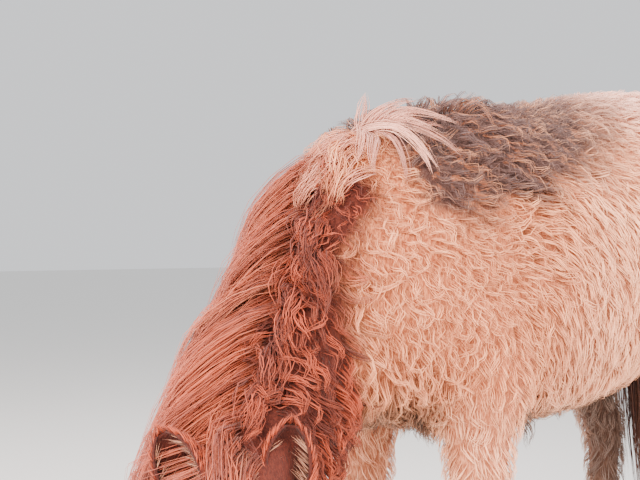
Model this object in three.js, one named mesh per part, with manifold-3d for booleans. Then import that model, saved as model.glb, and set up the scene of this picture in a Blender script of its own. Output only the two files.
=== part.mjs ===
// A young Shetland pony with a curly winter coat, standing with its head down to graze.
// Millimetres, Z up. The pony faces -X, its left side is -Y, and its hooves stand on Z = 0.
import * as THREE from "three";
import { mergeVertices } from "three/addons/utils/BufferGeometryUtils.js";
import Module from "manifold-3d";

const wasm = await Module();
wasm.setup();

// Driving sizes of the pony
const GAP = 0.5; // clear space between two nodes that touch
// Undercoat over the skin, and the tips of the locks over the skin
const CORE = { torso: 14, neck: 13, head: 5, leg: 7, dock: 6 };
const TIPS = { torso: 34, neck: 31, mane: 40, head: 24, leg: 19, dock: 24 };
const ROOT_DEPTH = 9; // how far a lock's root is sunk in the undercoat
// How softly one muscle or feature runs into the next
const SOFT = { shoulder: 60, haunch: 60, buttock: 40, neck: 70, leg: 55, cheek: 20, brow: 16, muzzle: 14 };
const END_REACH = 60; // how far a limb's rounded end may stand past its last station
const LIMB_SUNK = 18; // how far the neck's first ring dips into the torso
const EYE_RADIUS = 18;
const EYE_PLACE = [132, -26]; // along the face from the poll, and below the forehead's line
const EYE_SIDE = 55;
const EAR_LENGTH = 108;
const EAR_WIDTH = 31; // half width of the open cup
const HOOF_HEIGHT = 44;

// The head hangs from the poll, turned to the pony's left and nearly upright.
const POLL = new THREE.Vector3(-755, -80, 466);
const HEAD_YAW = THREE.MathUtils.degToRad(38);
const HEAD_DROP = THREE.MathUtils.degToRad(77);

// Sections of each limb: x, y, z of the middle, half width, half depth and, where the limb turns,
// its yaw.
const BACK_AND_BELLY = [
  // x, top, bottom, half width
  [-455, 735, 590, 80],
  [-400, 820, 520, 118],
  [-320, 903, 487, 146],
  [-230, 920, 478, 170],
  [-110, 932, 474, 196],
  [10, 950, 478, 208],
  [130, 970, 498, 208],
  [240, 986, 540, 196],
  [340, 994, 610, 180],
  [420, 966, 690, 152],
  [480, 905, 770, 98],
  [512, 858, 806, 58],
];
const TORSO = BACK_AND_BELLY.map(([x, top, bottom, half]) => {
  const middle = (top + bottom) / 2;
  return [x, 0, middle, half, top - middle];
});
const SHOULDER = [
  [-262, 62, 842, 42, 62],
  [-345, 86, 745, 54, 78],
  [-415, 92, 662, 52, 66],
  [-350, 104, 600, 52, 66],
  [-300, 108, 545, 46, 58],
];
const HAUNCH = [
  [325, 92, 868, 68, 92],
  [400, 104, 770, 74, 118],
  [345, 122, 660, 62, 104],
  [300, 126, 600, 50, 66],
];
const BUTTOCK = [
  [465, 70, 850, 56, 66],
  [472, 88, 730, 56, 72],
  [420, 108, 620, 52, 72],
];
const NECK = [
  [-290, 0, 802, 112, 165, 0],
  [-361, 0, 729, 95, 140, 0],
  [-468, -4, 637, 74, 108, 6],
  [-568, -8, 552, 65, 92, 18],
  [-634, -30, 475, 60, 86, 26],
  [-699, -47, 416, 56, 85, 34],
];
const FORE_LEG = [
  [-318, 100, 600, 40, 50],
  [-302, 106, 530, 45, 55],
  [-305, 107, 470, 41, 50],
  [-308, 107, 385, 33, 39],
  [-311, 106, 318, 30, 32],
  [-314, 106, 286, 33, 35],
  [-310, 105, 245, 26, 28],
  [-308, 105, 180, 21, 24],
  [-305, 105, 125, 22, 26],
  [-307, 105, 98, 26, 29],
  [-322, 105, 62, 23, 25],
  [-332, 105, 30, 26, 28],
];
const HIND_LEG = [
  [372, 112, 650, 46, 84],
  [366, 120, 560, 48, 74],
  [396, 120, 470, 36, 50],
  [440, 118, 402, 28, 40],
  [462, 117, 360, 30, 39],
  [463, 116, 310, 25, 31],
  [458, 116, 220, 21, 25],
  [452, 116, 140, 22, 26],
  [449, 116, 108, 26, 29],
  [430, 116, 68, 23, 25],
  [419, 116, 30, 26, 28],
];
const DOCK = [
  [480, 0, 900, 24, 24],
  [548, 0, 878, 27, 24],
  [583, 0, 800, 26, 24],
  [586, 0, 700, 20, 20],
  [580, 0, 610, 14, 14],
];
// Sections of the head along the face: distance from the poll, middle below the forehead,
// half width and half depth.
const FACE = [
  [8, -62, 46, 56],
  [60, -66, 60, 78],
  [120, -72, 66, 88],
  [190, -64, 50, 70],
  [262, -52, 40, 55],
  [330, -52, 40, 49],
  [366, -56, 38, 41],
  [384, -58, 33, 31],
  [397, -58, 22, 20],
];
const left = -1;
const right = 1;
const SIDES = [
  ["left", left],
  ["right", right],
];

// A point in the head's own directions: along the face from the poll, out of the forehead and to
// the pony's left.
const headAlong = new THREE.Vector3(
  -Math.cos(HEAD_DROP) * Math.cos(HEAD_YAW),
  -Math.cos(HEAD_DROP) * Math.sin(HEAD_YAW),
  -Math.sin(HEAD_DROP),
);
const headOut = new THREE.Vector3(
  -Math.sin(HEAD_DROP) * Math.cos(HEAD_YAW),
  -Math.sin(HEAD_DROP) * Math.sin(HEAD_YAW),
  Math.cos(HEAD_DROP),
);
const headLeft = new THREE.Vector3(Math.sin(HEAD_YAW), -Math.cos(HEAD_YAW), 0);
const onHead = (along, out, toLeft) =>
  POLL.clone()
    .addScaledVector(headAlong, along)
    .addScaledVector(headOut, out)
    .addScaledVector(headLeft, toLeft);

// A limb as many short lengths with an elliptical section, run smoothly through its stations.
function limb(stations, side = 1, finer = 3) {
  const at = (s) => ({
    p: new THREE.Vector3(s[0], s[1] * side, s[2]),
    w: s[3],
    d: s[4],
    yaw: THREE.MathUtils.degToRad(s[5] ?? 0),
  });
  const list = stations.map(at);
  const path = new THREE.CatmullRomCurve3(list.map((s) => s.p), false, "centripetal");
  const count = (list.length - 1) * finer;
  return Array.from({ length: count + 1 }, (_, i) => {
    const u = (i / count) * (list.length - 1);
    const a = Math.min(Math.floor(u), list.length - 2);
    const t = u - a;
    const ease = t * t * (3 - 2 * t);
    const mix = (key) => THREE.MathUtils.lerp(list[a][key], list[a + 1][key], key === "yaw" ? ease : t);
    const yaw = mix("yaw");
    return {
      p: path.getPoint(u / (list.length - 1)),
      w: mix("w"),
      d: mix("d"),
      across: new THREE.Vector3(Math.sin(yaw), -Math.cos(yaw), 0),
    };
  });
}

// How far a point lies outside an ellipse with half axes w and d, at offsets x and y from its middle
function outsideEllipse(x, y, w, d) {
  const near = Math.hypot(x / w, y / d);
  const slope = Math.hypot(x / (w * w), y / (d * d));
  return slope < 1e-9 ? -Math.min(w, d) : (near * (near - 1)) / slope;
}

const offset = new THREE.Vector3();
const span = new THREE.Vector3();
function toLimb(point, chain) {
  let best = Infinity;
  for (let i = 0; i + 1 < chain.length; i++) {
    const a = chain[i];
    const b = chain[i + 1];
    span.subVectors(b.p, a.p);
    offset.subVectors(point, a.p);
    const t = THREE.MathUtils.clamp(offset.dot(span) / span.lengthSq(), 0, 1);
    offset.addScaledVector(span, -t);
    const w = a.w + (b.w - a.w) * t;
    const d = a.d + (b.d - a.d) * t;
    const sideways = offset.dot(a.across) * (1 - t) + offset.dot(b.across) * t;
    const rest = Math.sqrt(Math.max(0, offset.lengthSq() - sideways * sideways));
    best = Math.min(best, outsideEllipse(sideways, rest, w, d));
  }
  return best;
}

// Two distances joined with a soft fillet
function soften(a, b, k) {
  const h = Math.max(k - Math.abs(a - b), 0) / k;
  return Math.min(a, b) - (h * h * k) / 4;
}

// The limbs in space
const torsoLimb = limb(TORSO);
const neckLimb = limb(NECK);
const dockLimb = limb(DOCK);
const headLimb = FACE.map(([along, out, w, d]) => ({ p: onHead(along, out, 0), w, d, across: headLeft }));
const perSide = (make) => ({ [left]: make(left), [right]: make(right) });
const shoulders = perSide((s) => limb(SHOULDER, s));
const haunches = perSide((s) => limb(HAUNCH, s));
const buttocks = perSide((s) => limb(BUTTOCK, s));
const foreLegs = perSide((s) => limb(FORE_LEG, s));
const hindLegs = perSide((s) => limb(HIND_LEG, s));

function ball(point, centre, rAlong, rOut, rSide) {
  offset.subVectors(point, centre);
  const x = offset.dot(headAlong);
  const y = offset.dot(headOut);
  const z = offset.dot(headLeft);
  const near = Math.hypot(x / rAlong, y / rOut, z / rSide);
  const slope = Math.hypot(x / rAlong ** 2, y / rOut ** 2, z / rSide ** 2);
  return slope < 1e-9 ? -Math.min(rAlong, rOut, rSide) : (near * (near - 1)) / slope;
}

const torsoField = (p) => {
  let v = toLimb(p, torsoLimb);
  const s = p.y < 0 ? left : right;
  v = soften(v, toLimb(p, shoulders[s]), SOFT.shoulder);
  v = soften(v, toLimb(p, haunches[s]), SOFT.haunch);
  return soften(v, toLimb(p, buttocks[s]), SOFT.buttock);
};
const neckField = (p) => soften(toLimb(p, neckLimb), torsoField(p), SOFT.neck);

// Features that stand out of the head: place, then half sizes along the face, out of it and sideways
const CHEEK = { along: 118, out: -92, side: 40, size: [72, 62, 26] };
const BROW = { along: 126, out: -10, side: 56, size: [34, 16, 17] };
const NOSTRIL = { along: 350, out: -26, side: 24, size: [27, 22, 19] };
const UPPER_LIP = { along: 384, out: -36, side: 0, size: [20, 24, 34] };
const CHIN = { along: 376, out: -84, side: 0, size: [22, 17, 26] };
const feature = (p, { along, out, side, size }, s) => ball(p, onHead(along, out, -s * side), ...size);
const headField = (p) => {
  let v = toLimb(p, headLimb);
  for (const s of [left, right]) {
    v = soften(v, feature(p, CHEEK, s), SOFT.cheek);
    v = soften(v, feature(p, BROW, s), SOFT.brow);
    v = soften(v, feature(p, NOSTRIL, s), SOFT.muzzle);
  }
  v = soften(v, feature(p, UPPER_LIP, left), SOFT.muzzle);
  return soften(v, feature(p, CHIN, left), SOFT.muzzle);
};
const legField = (chain) => (p) => soften(toLimb(p, chain), torsoField(p), SOFT.leg);

// The way straight out of a body at a point
const probe = new THREE.Vector3();
function wayOut(field, p) {
  const h = 2;
  const at = (x, y, z) => field(probe.set(p.x + x, p.y + y, p.z + z));
  return new THREE.Vector3(
    at(h, 0, 0) - at(-h, 0, 0),
    at(0, h, 0) - at(0, -h, 0),
    at(0, 0, h) - at(0, 0, -h),
  ).normalize();
}

function facesThrough(points, faces) {
  const places = points.flatMap((p) => p.toArray());
  const geometry = new THREE.BufferGeometry();
  geometry.setAttribute("position", new THREE.Float32BufferAttribute(places, 3));
  geometry.setIndex(faces);
  return geometry;
}

// Closed mesh from rings of points, with a point at each end
function skinOfRings(rings, first, last) {
  const n = rings[0].length;
  const points = [first, ...rings.flat(), last];
  const faces = [];
  const at = (r, i) => 1 + r * n + (i % n);
  for (let i = 0; i < n; i++) faces.push(0, at(0, i + 1), at(0, i));
  for (let r = 0; r + 1 < rings.length; r++) {
    for (let i = 0; i < n; i++) {
      faces.push(at(r, i), at(r, i + 1), at(r + 1, i + 1), at(r, i), at(r + 1, i + 1), at(r + 1, i));
    }
  }
  const end = points.length - 1;
  for (let i = 0; i < n; i++) faces.push(at(rings.length - 1, i), at(rings.length - 1, i + 1), end);
  return facesThrough(points, faces);
}

function solid(geometry) {
  const bare = geometry.clone();
  bare.deleteAttribute("normal");
  bare.deleteAttribute("uv");
  const merged = mergeVertices(bare, 1e-3);
  const vertProperties = new Float32Array(merged.attributes.position.array);
  let triVerts = new Uint32Array(merged.index.array);
  const build = () => new wasm.Manifold(new wasm.Mesh({ numProp: 3, vertProperties, triVerts }));
  let made = build();
  if (made.volume() < 0) {
    triVerts = triVerts.map((v, i) => (i % 3 === 1 ? triVerts[i + 1] : i % 3 === 2 ? triVerts[i - 1] : v));
    made = build();
  }
  return made;
}

// How far along a ray a body's field reaches the level asked for
function reachOf(from, ray, field, level, far) {
  let low = 0;
  let high = far;
  for (let step = 0; step < 14; step++) {
    const middle = (low + high) / 2;
    if (field(from.clone().addScaledVector(ray, middle)) < level) low = middle;
    else high = middle;
  }
  return (low + high) / 2;
}

// A point on the skin at one place of an axis: 0 degrees is the axis' upper side, 90 is the pony's left.
function skinPoint(axis, i, degrees, field, level, reach) {
  const { p, w, d, across } = axis[i];
  const before = axis[Math.max(0, i - 1)].p;
  const after = axis[Math.min(axis.length - 1, i + 1)].p;
  const ahead = new THREE.Vector3().subVectors(after, before).normalize();
  const up = new THREE.Vector3().crossVectors(ahead, across).normalize();
  const sideways = new THREE.Vector3().crossVectors(up, ahead);
  const a = THREE.MathUtils.degToRad(degrees);
  const own = 1 / Math.hypot(Math.sin(a) / w, Math.cos(a) / d);
  const ray = new THREE.Vector3().addScaledVector(sideways, Math.sin(a)).addScaledVector(up, Math.cos(a));
  return p.clone().addScaledVector(ray, reachOf(p, ray, field, level, own * reach + level));
}

// The skin along an axis, with a rounded end past its first and last place. A limb's first ring
// can be sunk.
function skinAlong(axis, field, level, around, reach, sunk = 0) {
  const rings = axis.map((_, i) =>
    Array.from({ length: around }, (_, k) =>
      skinPoint(axis, i, (360 * k) / around, field, i === 0 ? level - sunk : level, reach),
    ),
  );
  const tip = (a, b) => {
    const ray = new THREE.Vector3().subVectors(a.p, b.p).normalize();
    const far = Math.min(a.d * reach, END_REACH) + level;
    return a.p.clone().addScaledVector(ray, reachOf(a.p, ray, field, level, far));
  };
  return skinOfRings(rings, tip(axis[0], axis[1]), tip(axis[axis.length - 1], axis[axis.length - 2]));
}

const every = (list, step) => list.filter((_, i) => i % step === 0 || i === list.length - 1);

function geometryOf(made) {
  const m = made.getMesh();
  const positions = new Float32Array(m.numVert * 3);
  for (let i = 0; i < m.numVert; i++) {
    positions.set(m.vertProperties.subarray(i * m.numProp, i * m.numProp + 3), i * 3);
  }
  const geometry = new THREE.BufferGeometry();
  geometry.setAttribute("position", new THREE.BufferAttribute(positions, 3));
  geometry.setIndex(new THREE.BufferAttribute(m.triVerts, 1));
  geometry.computeVertexNormals();
  return geometry;
}

// The same closed body a little larger all round, to cut what rests on it
function grown(made, by = GAP) {
  const geometry = geometryOf(made);
  const { position, normal } = geometry.attributes;
  for (let i = 0; i < position.count; i++) {
    position.setXYZ(
      i,
      position.getX(i) + normal.getX(i) * by,
      position.getY(i) + normal.getY(i) * by,
      position.getZ(i) + normal.getZ(i) * by,
    );
  }
  return solid(geometry);
}

// Bodies of flesh with their undercoat, each with the room that it takes from its neighbours
const bodies = {};
function body(axis, field, core, around, reach, sunk) {
  const skin = solid(skinAlong(axis, field, core, around, reach, sunk));
  return { skin, room: grown(skin) };
}
const HEAD_SIDES = 18;
const dockField = (p) => toLimb(p, dockLimb);
bodies.torso = body(every(torsoLimb, 3), torsoField, CORE.torso, 20, 1.7);
bodies.neck = body(every(neckLimb, 2), neckField, CORE.neck, 16, 1.35, LIMB_SUNK);
const faceStations = FACE.map(([along, out, w, d]) => [...onHead(along, out, 0).toArray(), w, d]);
const headAxis = limb(faceStations, 1, 2).map((s) => ({ ...s, across: headLeft }));
bodies.head = body(headAxis, headField, CORE.head, HEAD_SIDES, 2.0);
for (const [name, s] of SIDES) {
  bodies[`foreleg_${name}`] = body(every(foreLegs[s], 4), legField(foreLegs[s]), CORE.leg, 9, 1.35);
  bodies[`hindleg_${name}`] = body(every(hindLegs[s], 3), legField(hindLegs[s]), CORE.leg, 9, 1.35);
}
bodies.tail = body(every(dockLimb, 3), dockField, CORE.dock, 8, 1.6);

// Hooves: a short cone, sloped to the front, flat below
const HOOF_SOLE = 43;
const HOOF_WALL = 33;
const HOOF_TOP = 29;
const HOOF_SLOPE = 0.32;
const HOOF_SIDES = 12;
function hoof(x, y, spare) {
  const ground = spare ? -5 : 0;
  const profile = [
    [0, ground],
    [HOOF_SOLE + spare, ground],
    [HOOF_SOLE - 1 + spare, 5],
    [HOOF_WALL + spare, HOOF_HEIGHT - 4],
    [HOOF_TOP + spare, HOOF_HEIGHT + spare],
    [0, HOOF_HEIGHT + spare],
  ].map(([r, z]) => new THREE.Vector2(r, z));
  const geometry = new THREE.LatheGeometry(profile, HOOF_SIDES);
  geometry.rotateX(Math.PI / 2);
  geometry.scale(1.06, 0.94, 1);
  const position = geometry.attributes.position;
  for (let i = 0; i < position.count; i++) {
    position.setX(i, position.getX(i) + position.getZ(i) * HOOF_SLOPE);
  }
  geometry.translate(x, y, 0);
  return solid(geometry);
}

const nodes = new Map();
for (const [name, s] of SIDES) {
  nodes.set(`hoof_fore_${name}`, { s, at: [-343, 105 * s] });
  nodes.set(`hoof_hind_${name}`, { s, at: [407, 116 * s] });
}
const largeHooves = [];
for (const node of nodes.values()) {
  node.solid = hoof(...node.at, 0);
  node.large = hoof(...node.at, GAP);
  largeHooves.push(node.large);
}

// The ear is a leaf rolled into a cup, open to the front.
const EAR_WALL = 4.5;
const EAR_ROWS = 6;
const EAR_COLUMNS = 8;
const EAR_ROOT = [32, -30, 50];
const EAR_SUNK = 8;
function earPoint(s, row, across, { wall = 0, spare = 0 }) {
  const root = onHead(EAR_ROOT[0], EAR_ROOT[1], -s * EAR_ROOT[2]);
  const up = new THREE.Vector3(0, 0, 1)
    .addScaledVector(headLeft, -s * 0.28)
    .addScaledVector(headOut, 0.05)
    .normalize();
  const opening = headOut.clone().addScaledVector(headLeft, -s * 0.25);
  opening.addScaledVector(up, -opening.dot(up)).normalize();
  const wide = new THREE.Vector3().crossVectors(up, opening);
  const v = row / EAR_ROWS;
  const roll = THREE.MathUtils.degToRad(THREE.MathUtils.lerp(150, 95, v) + 6 * spare);
  const a = THREE.MathUtils.lerp(-roll, roll, across);
  const leaf = Math.pow(Math.sin(Math.PI * Math.min(0.97, 0.22 + 0.75 * v)), 0.75);
  const radius = EAR_WIDTH * leaf - wall + spare;
  const floor = row === 0 ? 1.4 * wall : 0;
  const height = v * (EAR_LENGTH - 2 * wall * v) + floor + spare * (2 * v - 1);
  return root
    .clone()
    .addScaledVector(up, height - EAR_SUNK)
    .addScaledVector(wide, Math.sin(a) * radius)
    .addScaledVector(opening, -Math.cos(a) * radius * 0.85 - v * v * 6);
}
function ear(s) {
  const rows = EAR_ROWS;
  const columns = EAR_COLUMNS;
  const face = (wall) => {
    const list = [];
    for (let r = 0; r <= rows; r++) {
      for (let c = 0; c <= columns; c++) list.push(earPoint(s, r, c / columns, { wall }));
    }
    return list;
  };
  const outer = face(0);
  const inner = face(EAR_WALL);
  const stride = columns + 1;
  const faces = [];
  const quad = (a, b, c, d) => faces.push(a, b, c, a, c, d);
  const back = outer.length;
  for (let r = 0; r < rows; r++) {
    for (let c = 0; c < columns; c++) {
      const i = r * stride + c;
      quad(i, i + 1, i + 1 + stride, i + stride);
      quad(back + i, back + i + stride, back + i + 1 + stride, back + i + 1);
    }
    const l = r * stride;
    const e = l + columns;
    quad(l, l + stride, back + l + stride, back + l);
    quad(e, back + e, back + e + stride, e + stride);
  }
  for (let c = 0; c < columns; c++) {
    quad(c, back + c, back + c + 1, c + 1);
    const i = rows * stride + c;
    quad(i, i + 1, back + i + 1, back + i);
  }
  return solid(facesThrough([...outer, ...inner], faces));
}

// The room that an ear takes, cup and all, with a little to spare
function earSpace(s) {
  const rings = Array.from({ length: EAR_ROWS + 1 }, (_, r) =>
    Array.from({ length: EAR_COLUMNS + 1 }, (_, c) => earPoint(s, r, c / EAR_COLUMNS, { spare: 1.5 })),
  );
  const sumOf = (ring) => ring.reduce((sum, p) => sum.add(p), new THREE.Vector3());
  const centreOf = (ring) => sumOf(ring).divideScalar(ring.length);
  return solid(skinOfRings(rings, centreOf(rings[0]), centreOf(rings[EAR_ROWS])));
}

function eye(s) {
  const geometry = new THREE.SphereGeometry(EYE_RADIUS, 10, 6);
  const centre = onHead(...EYE_PLACE, -s * EYE_SIDE);
  geometry.translate(centre.x, centre.y, centre.z);
  return solid(geometry);
}

const cut = (made, ...cutters) => cutters.reduce((rest, cutter) => rest.subtract(cutter), made);
const largest = (made) => made.decompose().sort((a, b) => b.volume() - a.volume())[0];

// Seeded random numbers, so that the coat is the same each time
let seed = 20251;
function random() {
  seed = (seed * 1664525 + 1013904223) % 4294967296;
  return seed / 4294967296;
}
const vary = (value, share) => value * (1 + share * (2 * random() - 1));
const mix = THREE.MathUtils.lerp;
const DOWN = new THREE.Vector3(0, 0, -1);

// The path of a lock: it keeps its heading, sinks under its weight and stays outside its level
// over the skin.
function hang(field, root, heading, { length, level, steps = 3, weight = 0.4, hug = false, sway = 0 }) {
  const p = root.clone();
  const d = heading.clone().normalize();
  const path = [];
  for (let i = 0; i <= steps; i++) {
    const t = i / steps;
    for (let turn = 0; turn < 2; turn++) {
      const short = level(t) - field(p);
      if (hug || short > 0) p.addScaledVector(wayOut(field, p), short);
    }
    const out = wayOut(field, p);
    if (i > 0) d.subVectors(p, path[i - 1].p).normalize();
    path.push({ p: p.clone(), out });
    const side = new THREE.Vector3().crossVectors(d, out).normalize();
    d.addScaledVector(DOWN, weight / steps);
    d.addScaledVector(side, sway * Math.cos(2 * Math.PI * t)).normalize();
    p.addScaledVector(d, length / steps);
  }
  return path;
}

// A lock is a flat blade with a ridge, widest near its root and pointed at its tip.
const TIP_SPARE = 8; // a thin point needs this much more room ahead of it
const bladeWidth = (t) => (0.72 + 0.28 * Math.sin(Math.PI * Math.min(1, 1.6 * t))) * Math.pow(1 - t, 0.45);
function blade(path, width, thick, spare) {
  const last = path.length - 1;
  const rings = path.slice(0, last).map(({ p, out }, i) => {
    const t = i / last;
    const ahead = new THREE.Vector3().subVectors(path[i + 1].p, path[Math.max(0, i - 1)].p).normalize();
    const side = new THREE.Vector3().crossVectors(ahead, out).normalize();
    const up = new THREE.Vector3().crossVectors(side, ahead);
    const w = (width / 2) * bladeWidth(t);
    const h = (thick / 2) * (1 - 0.65 * t);
    const slope = Math.atan2(1.6 * h, w);
    const edge = w + spare / Math.tan(slope / 2);
    const under = -0.6 * h - spare;
    const at = (across, rise) => p.clone().addScaledVector(side, across).addScaledVector(up, rise);
    return [at(edge, under), at(0, h + spare / Math.cos(slope)), at(-edge, under)];
  });
  const onward = (a, b, by) => b.clone().add(new THREE.Vector3().subVectors(b, a).setLength(by));
  const first = onward(path[1].p, path[0].p, 3 + 2 * spare);
  const tip = onward(path[last - 1].p, path[last].p, 0.1 + TIP_SPARE * spare);
  return solid(skinOfRings(rings, first, tip));
}

// A curl clump is a low dome that leans with the lie of the coat.
const CLUMP_SIDES = 6;
const CLUMP_RINGS = [
  [-ROOT_DEPTH, 1, 0],
  [0.62, 0.82, 0.15],
];
function clump(root, out, heading, radius, height, turn, spare) {
  const side = new THREE.Vector3().crossVectors(heading, out).normalize();
  const ahead = new THREE.Vector3().crossVectors(out, side);
  const at = (rise, angle, r, lean) =>
    root
      .clone()
      .addScaledVector(out, rise)
      .addScaledVector(side, Math.sin(angle) * r * 0.85)
      .addScaledVector(ahead, Math.cos(angle) * r + lean * radius);
  const rings = CLUMP_RINGS.map(([rise, wide, lean], i) =>
    Array.from({ length: CLUMP_SIDES }, (_, k) =>
      at(
        (i === 0 ? rise : rise * height) + spare * Math.sign(rise),
        (2 * Math.PI * k) / CLUMP_SIDES + turn,
        wide * radius + spare,
        lean,
      ),
    ),
  );
  const below = at(-ROOT_DEPTH - 2 - spare, 0, 0, 0);
  return solid(skinOfRings(rings, below, at(height + 1.5 * spare, 0, 0, 0.4)));
}

// Everything that one node is made of, with the room that it takes from the nodes made after it
const grownParts = {};
for (const [name, { skin, room }] of Object.entries(bodies)) {
  grownParts[name] = { parts: [skin], rooms: [room] };
}
function grow(name, make) {
  grownParts[name].parts.push(make(0));
  grownParts[name].rooms.push(make(GAP));
}
const rising = (low, high) => (t) => mix(low - ROOT_DEPTH, high, Math.pow(t, 0.65));

// Coat of the torso: rows of locks that sweep back and down, curls on shoulder and chest, a fringe below.
const COAT_ROWS = 10;
const COAT_COLUMNS = 10;
const inNeck = (p) => toLimb(p, neckLimb) < 22;
const inLeg = (p, s) => Math.min(toLimb(p, foreLegs[s]), toLimb(p, hindLegs[s])) < 4;
const inLegs = (p) => inLeg(p, left) || inLeg(p, right);
for (let row = 0; row < COAT_ROWS; row++) {
  const i = Math.round(mix(1, torsoLimb.length - 2, row / (COAT_ROWS - 1)));
  for (let column = 0; column < COAT_COLUMNS; column++) {
    const degrees = ((column + (row % 2) / 2) * 360) / COAT_COLUMNS + 6 * (random() - 0.5);
    const root = skinPoint(torsoLimb, i, degrees, torsoField, CORE.torso, 1.7);
    if (inNeck(root) || inLegs(root)) continue;
    const out = wayOut(torsoField, root);
    const front = THREE.MathUtils.clamp((-170 - root.x) / 120, 0, 1);
    const rump = THREE.MathUtils.clamp((root.x - 330) / 150, 0, 1);
    const low = THREE.MathUtils.clamp((820 - root.z) / 260, 0, 1);
    const back = mix(1, -0.15, front) - 0.5 * rump;
    const heading = new THREE.Vector3(back, 0, -0.15 - 0.8 * (low + rump + front));
    if (front > 0.2 && out.z > -0.6) {
      const radius = vary(49, 0.1);
      const height = vary(TIPS.torso - CORE.torso, 0.15);
      const turn = random();
      grow("torso", (spare) => clump(root, out, heading, radius, height, turn, spare));
      continue;
    }
    const fringe = out.z < -0.5;
    const path = hang(torsoField, root, heading, {
      length: vary(fringe ? 105 : 152, 0.12),
      level: rising(CORE.torso, TIPS.torso + (fringe ? 12 : 0)),
      weight: fringe ? 0.8 : 0.3,
      hug: true,
      sway: 0.12 * (random() - 0.5),
    });
    const width = vary(fringe ? 104 : 116, 0.1);
    grow("torso", (spare) => blade(path, width, 22, spare));
  }
}

// Neck: curl clumps on the near side, throat and far side, below the mane.
const fineNeck = limb(NECK, 1, 8);
const NECK_ROWS = 6;
const NECK_CURLS = [50, 92, 134, 176, 218];
for (let row = 0; row < NECK_ROWS; row++) {
  const i = Math.round(mix(9, fineNeck.length - 3, row / (NECK_ROWS - 1)));
  for (const middle of NECK_CURLS) {
    const degrees = middle + 21 * (row % 2) + 4 * random();
    const root = skinPoint(fineNeck, i, degrees, neckField, CORE.neck, 1.35);
    if (toLimb(root, torsoLimb) < 30) continue;
    const out = wayOut(neckField, root);
    const heading = new THREE.Vector3(-0.3, 0, -1);
    const radius = vary(mix(47, 38, row / NECK_ROWS), 0.1);
    const height = vary(TIPS.neck - CORE.neck, 0.15);
    const turn = random();
    grow("neck", (spare) => clump(root, out, heading, radius, height, turn, spare));
  }
}

// Mane: two rows of long locks that fall from the crest to the pony's right, and short wisps on
// its left
const MANE_ROWS = [-6, -34];
const MANE_COUNT = 12;
MANE_ROWS.forEach((degrees, row) => {
  for (let k = 0; k < MANE_COUNT; k++) {
    const share = (k + row / 2) / (MANE_COUNT - 0.5);
    const i = Math.round(mix(7, fineNeck.length - 1, share));
    const root = skinPoint(fineNeck, i, degrees, neckField, CORE.neck - ROOT_DEPTH, 1.35);
    const out = wayOut(neckField, root);
    const fall = fineNeck[i].across.clone().multiplyScalar(-1);
    const heading = out.clone().multiplyScalar(0.4 - 0.12 * row).addScaledVector(fall, 0.75);
    heading.add(new THREE.Vector3(-0.25, 0, -0.65));
    const path = hang(neckField, root, heading, {
      length: vary(mix(215, 275, Math.sin(Math.PI * share)), 0.1),
      level: (t) => mix(CORE.neck - ROOT_DEPTH, TIPS.mane - 8 * row, Math.min(1, 3 * t)),
      steps: 4,
      weight: 2.2,
      sway: 0.14 * (random() - 0.5),
    });
    const width = vary(62, 0.1);
    grow("neck", (spare) => blade(path, width, 20, spare));
  }
});
const WISPS = 8;
for (let k = 0; k < WISPS; k++) {
  const i = Math.round(mix(8, fineNeck.length - 2, k / (WISPS - 1)));
  const root = skinPoint(fineNeck, i, 16 + 8 * random(), neckField, CORE.neck, 1.35);
  const heading = wayOut(neckField, root).add(fineNeck[i].across).add(new THREE.Vector3(-0.2, 0, -0.3));
  const path = hang(neckField, root, heading, {
    length: vary(88, 0.2),
    level: rising(CORE.neck, TIPS.neck + 4),
    weight: 1.6,
  });
  const width = vary(40, 0.15);
  grow("neck", (spare) => blade(path, width, 15, spare));
}

// Long wisps of the mane's end, over the withers
const WITHERS_WISPS = [
  [2, -20, 0.9, 0.3, 0.5, 120],
  [4, 14, 0.6, -0.6, 0.45, 135],
  [5, 40, 0.4, -0.8, 0.2, 120],
  [3, -50, 0.3, 0.9, 0.2, 130],
  [6, 8, 0.1, -0.4, 0.9, 110],
];
for (const [i, degrees, x, y, z, length] of WITHERS_WISPS) {
  const root = skinPoint(fineNeck, i, degrees, neckField, CORE.neck, 1.35);
  const path = hang(neckField, root, new THREE.Vector3(x, y, z), {
    length,
    level: rising(CORE.neck, TIPS.neck),
    steps: 4,
    weight: 2.4,
  });
  grow("neck", (spare) => blade(path, 40, 14, spare));
}

// Forelock: a fan of locks from the poll down over the forehead
const FORELOCK_SPREAD = [-36, -18, 0, 18, 36];
FORELOCK_SPREAD.forEach((toLeft, k) => {
  const upper = k % 2;
  const root = onHead(10 + 12 * upper, -14, toLeft * 0.62);
  const heading = headAlong.clone().addScaledVector(headOut, 0.5).addScaledVector(headLeft, toLeft / 150);
  const path = hang(headField, root, heading, {
    length: vary(205, 0.12),
    level: (t) => mix(CORE.head - 7, TIPS.head - 6 * upper, Math.min(1, 2.5 * t)),
    steps: 4,
    weight: 0.3,
    hug: true,
  });
  grow("head", (spare) => blade(path, 42, 14, spare));
});

// Beard under the jaw
for (let k = 0; k < 5; k++) {
  const root = onHead(118 + 38 * k, -118 + 10 * k, k % 2 ? 16 : -16);
  const heading = headAlong.clone().multiplyScalar(0.8).addScaledVector(headOut, -0.8);
  const path = hang(headField, root, heading, {
    length: vary(64 - 4 * k, 0.1),
    level: (t) => mix(CORE.head - 7, 26, t),
    weight: 0.6,
  });
  grow("head", (spare) => blade(path, 30, 12, spare));
}

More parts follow.
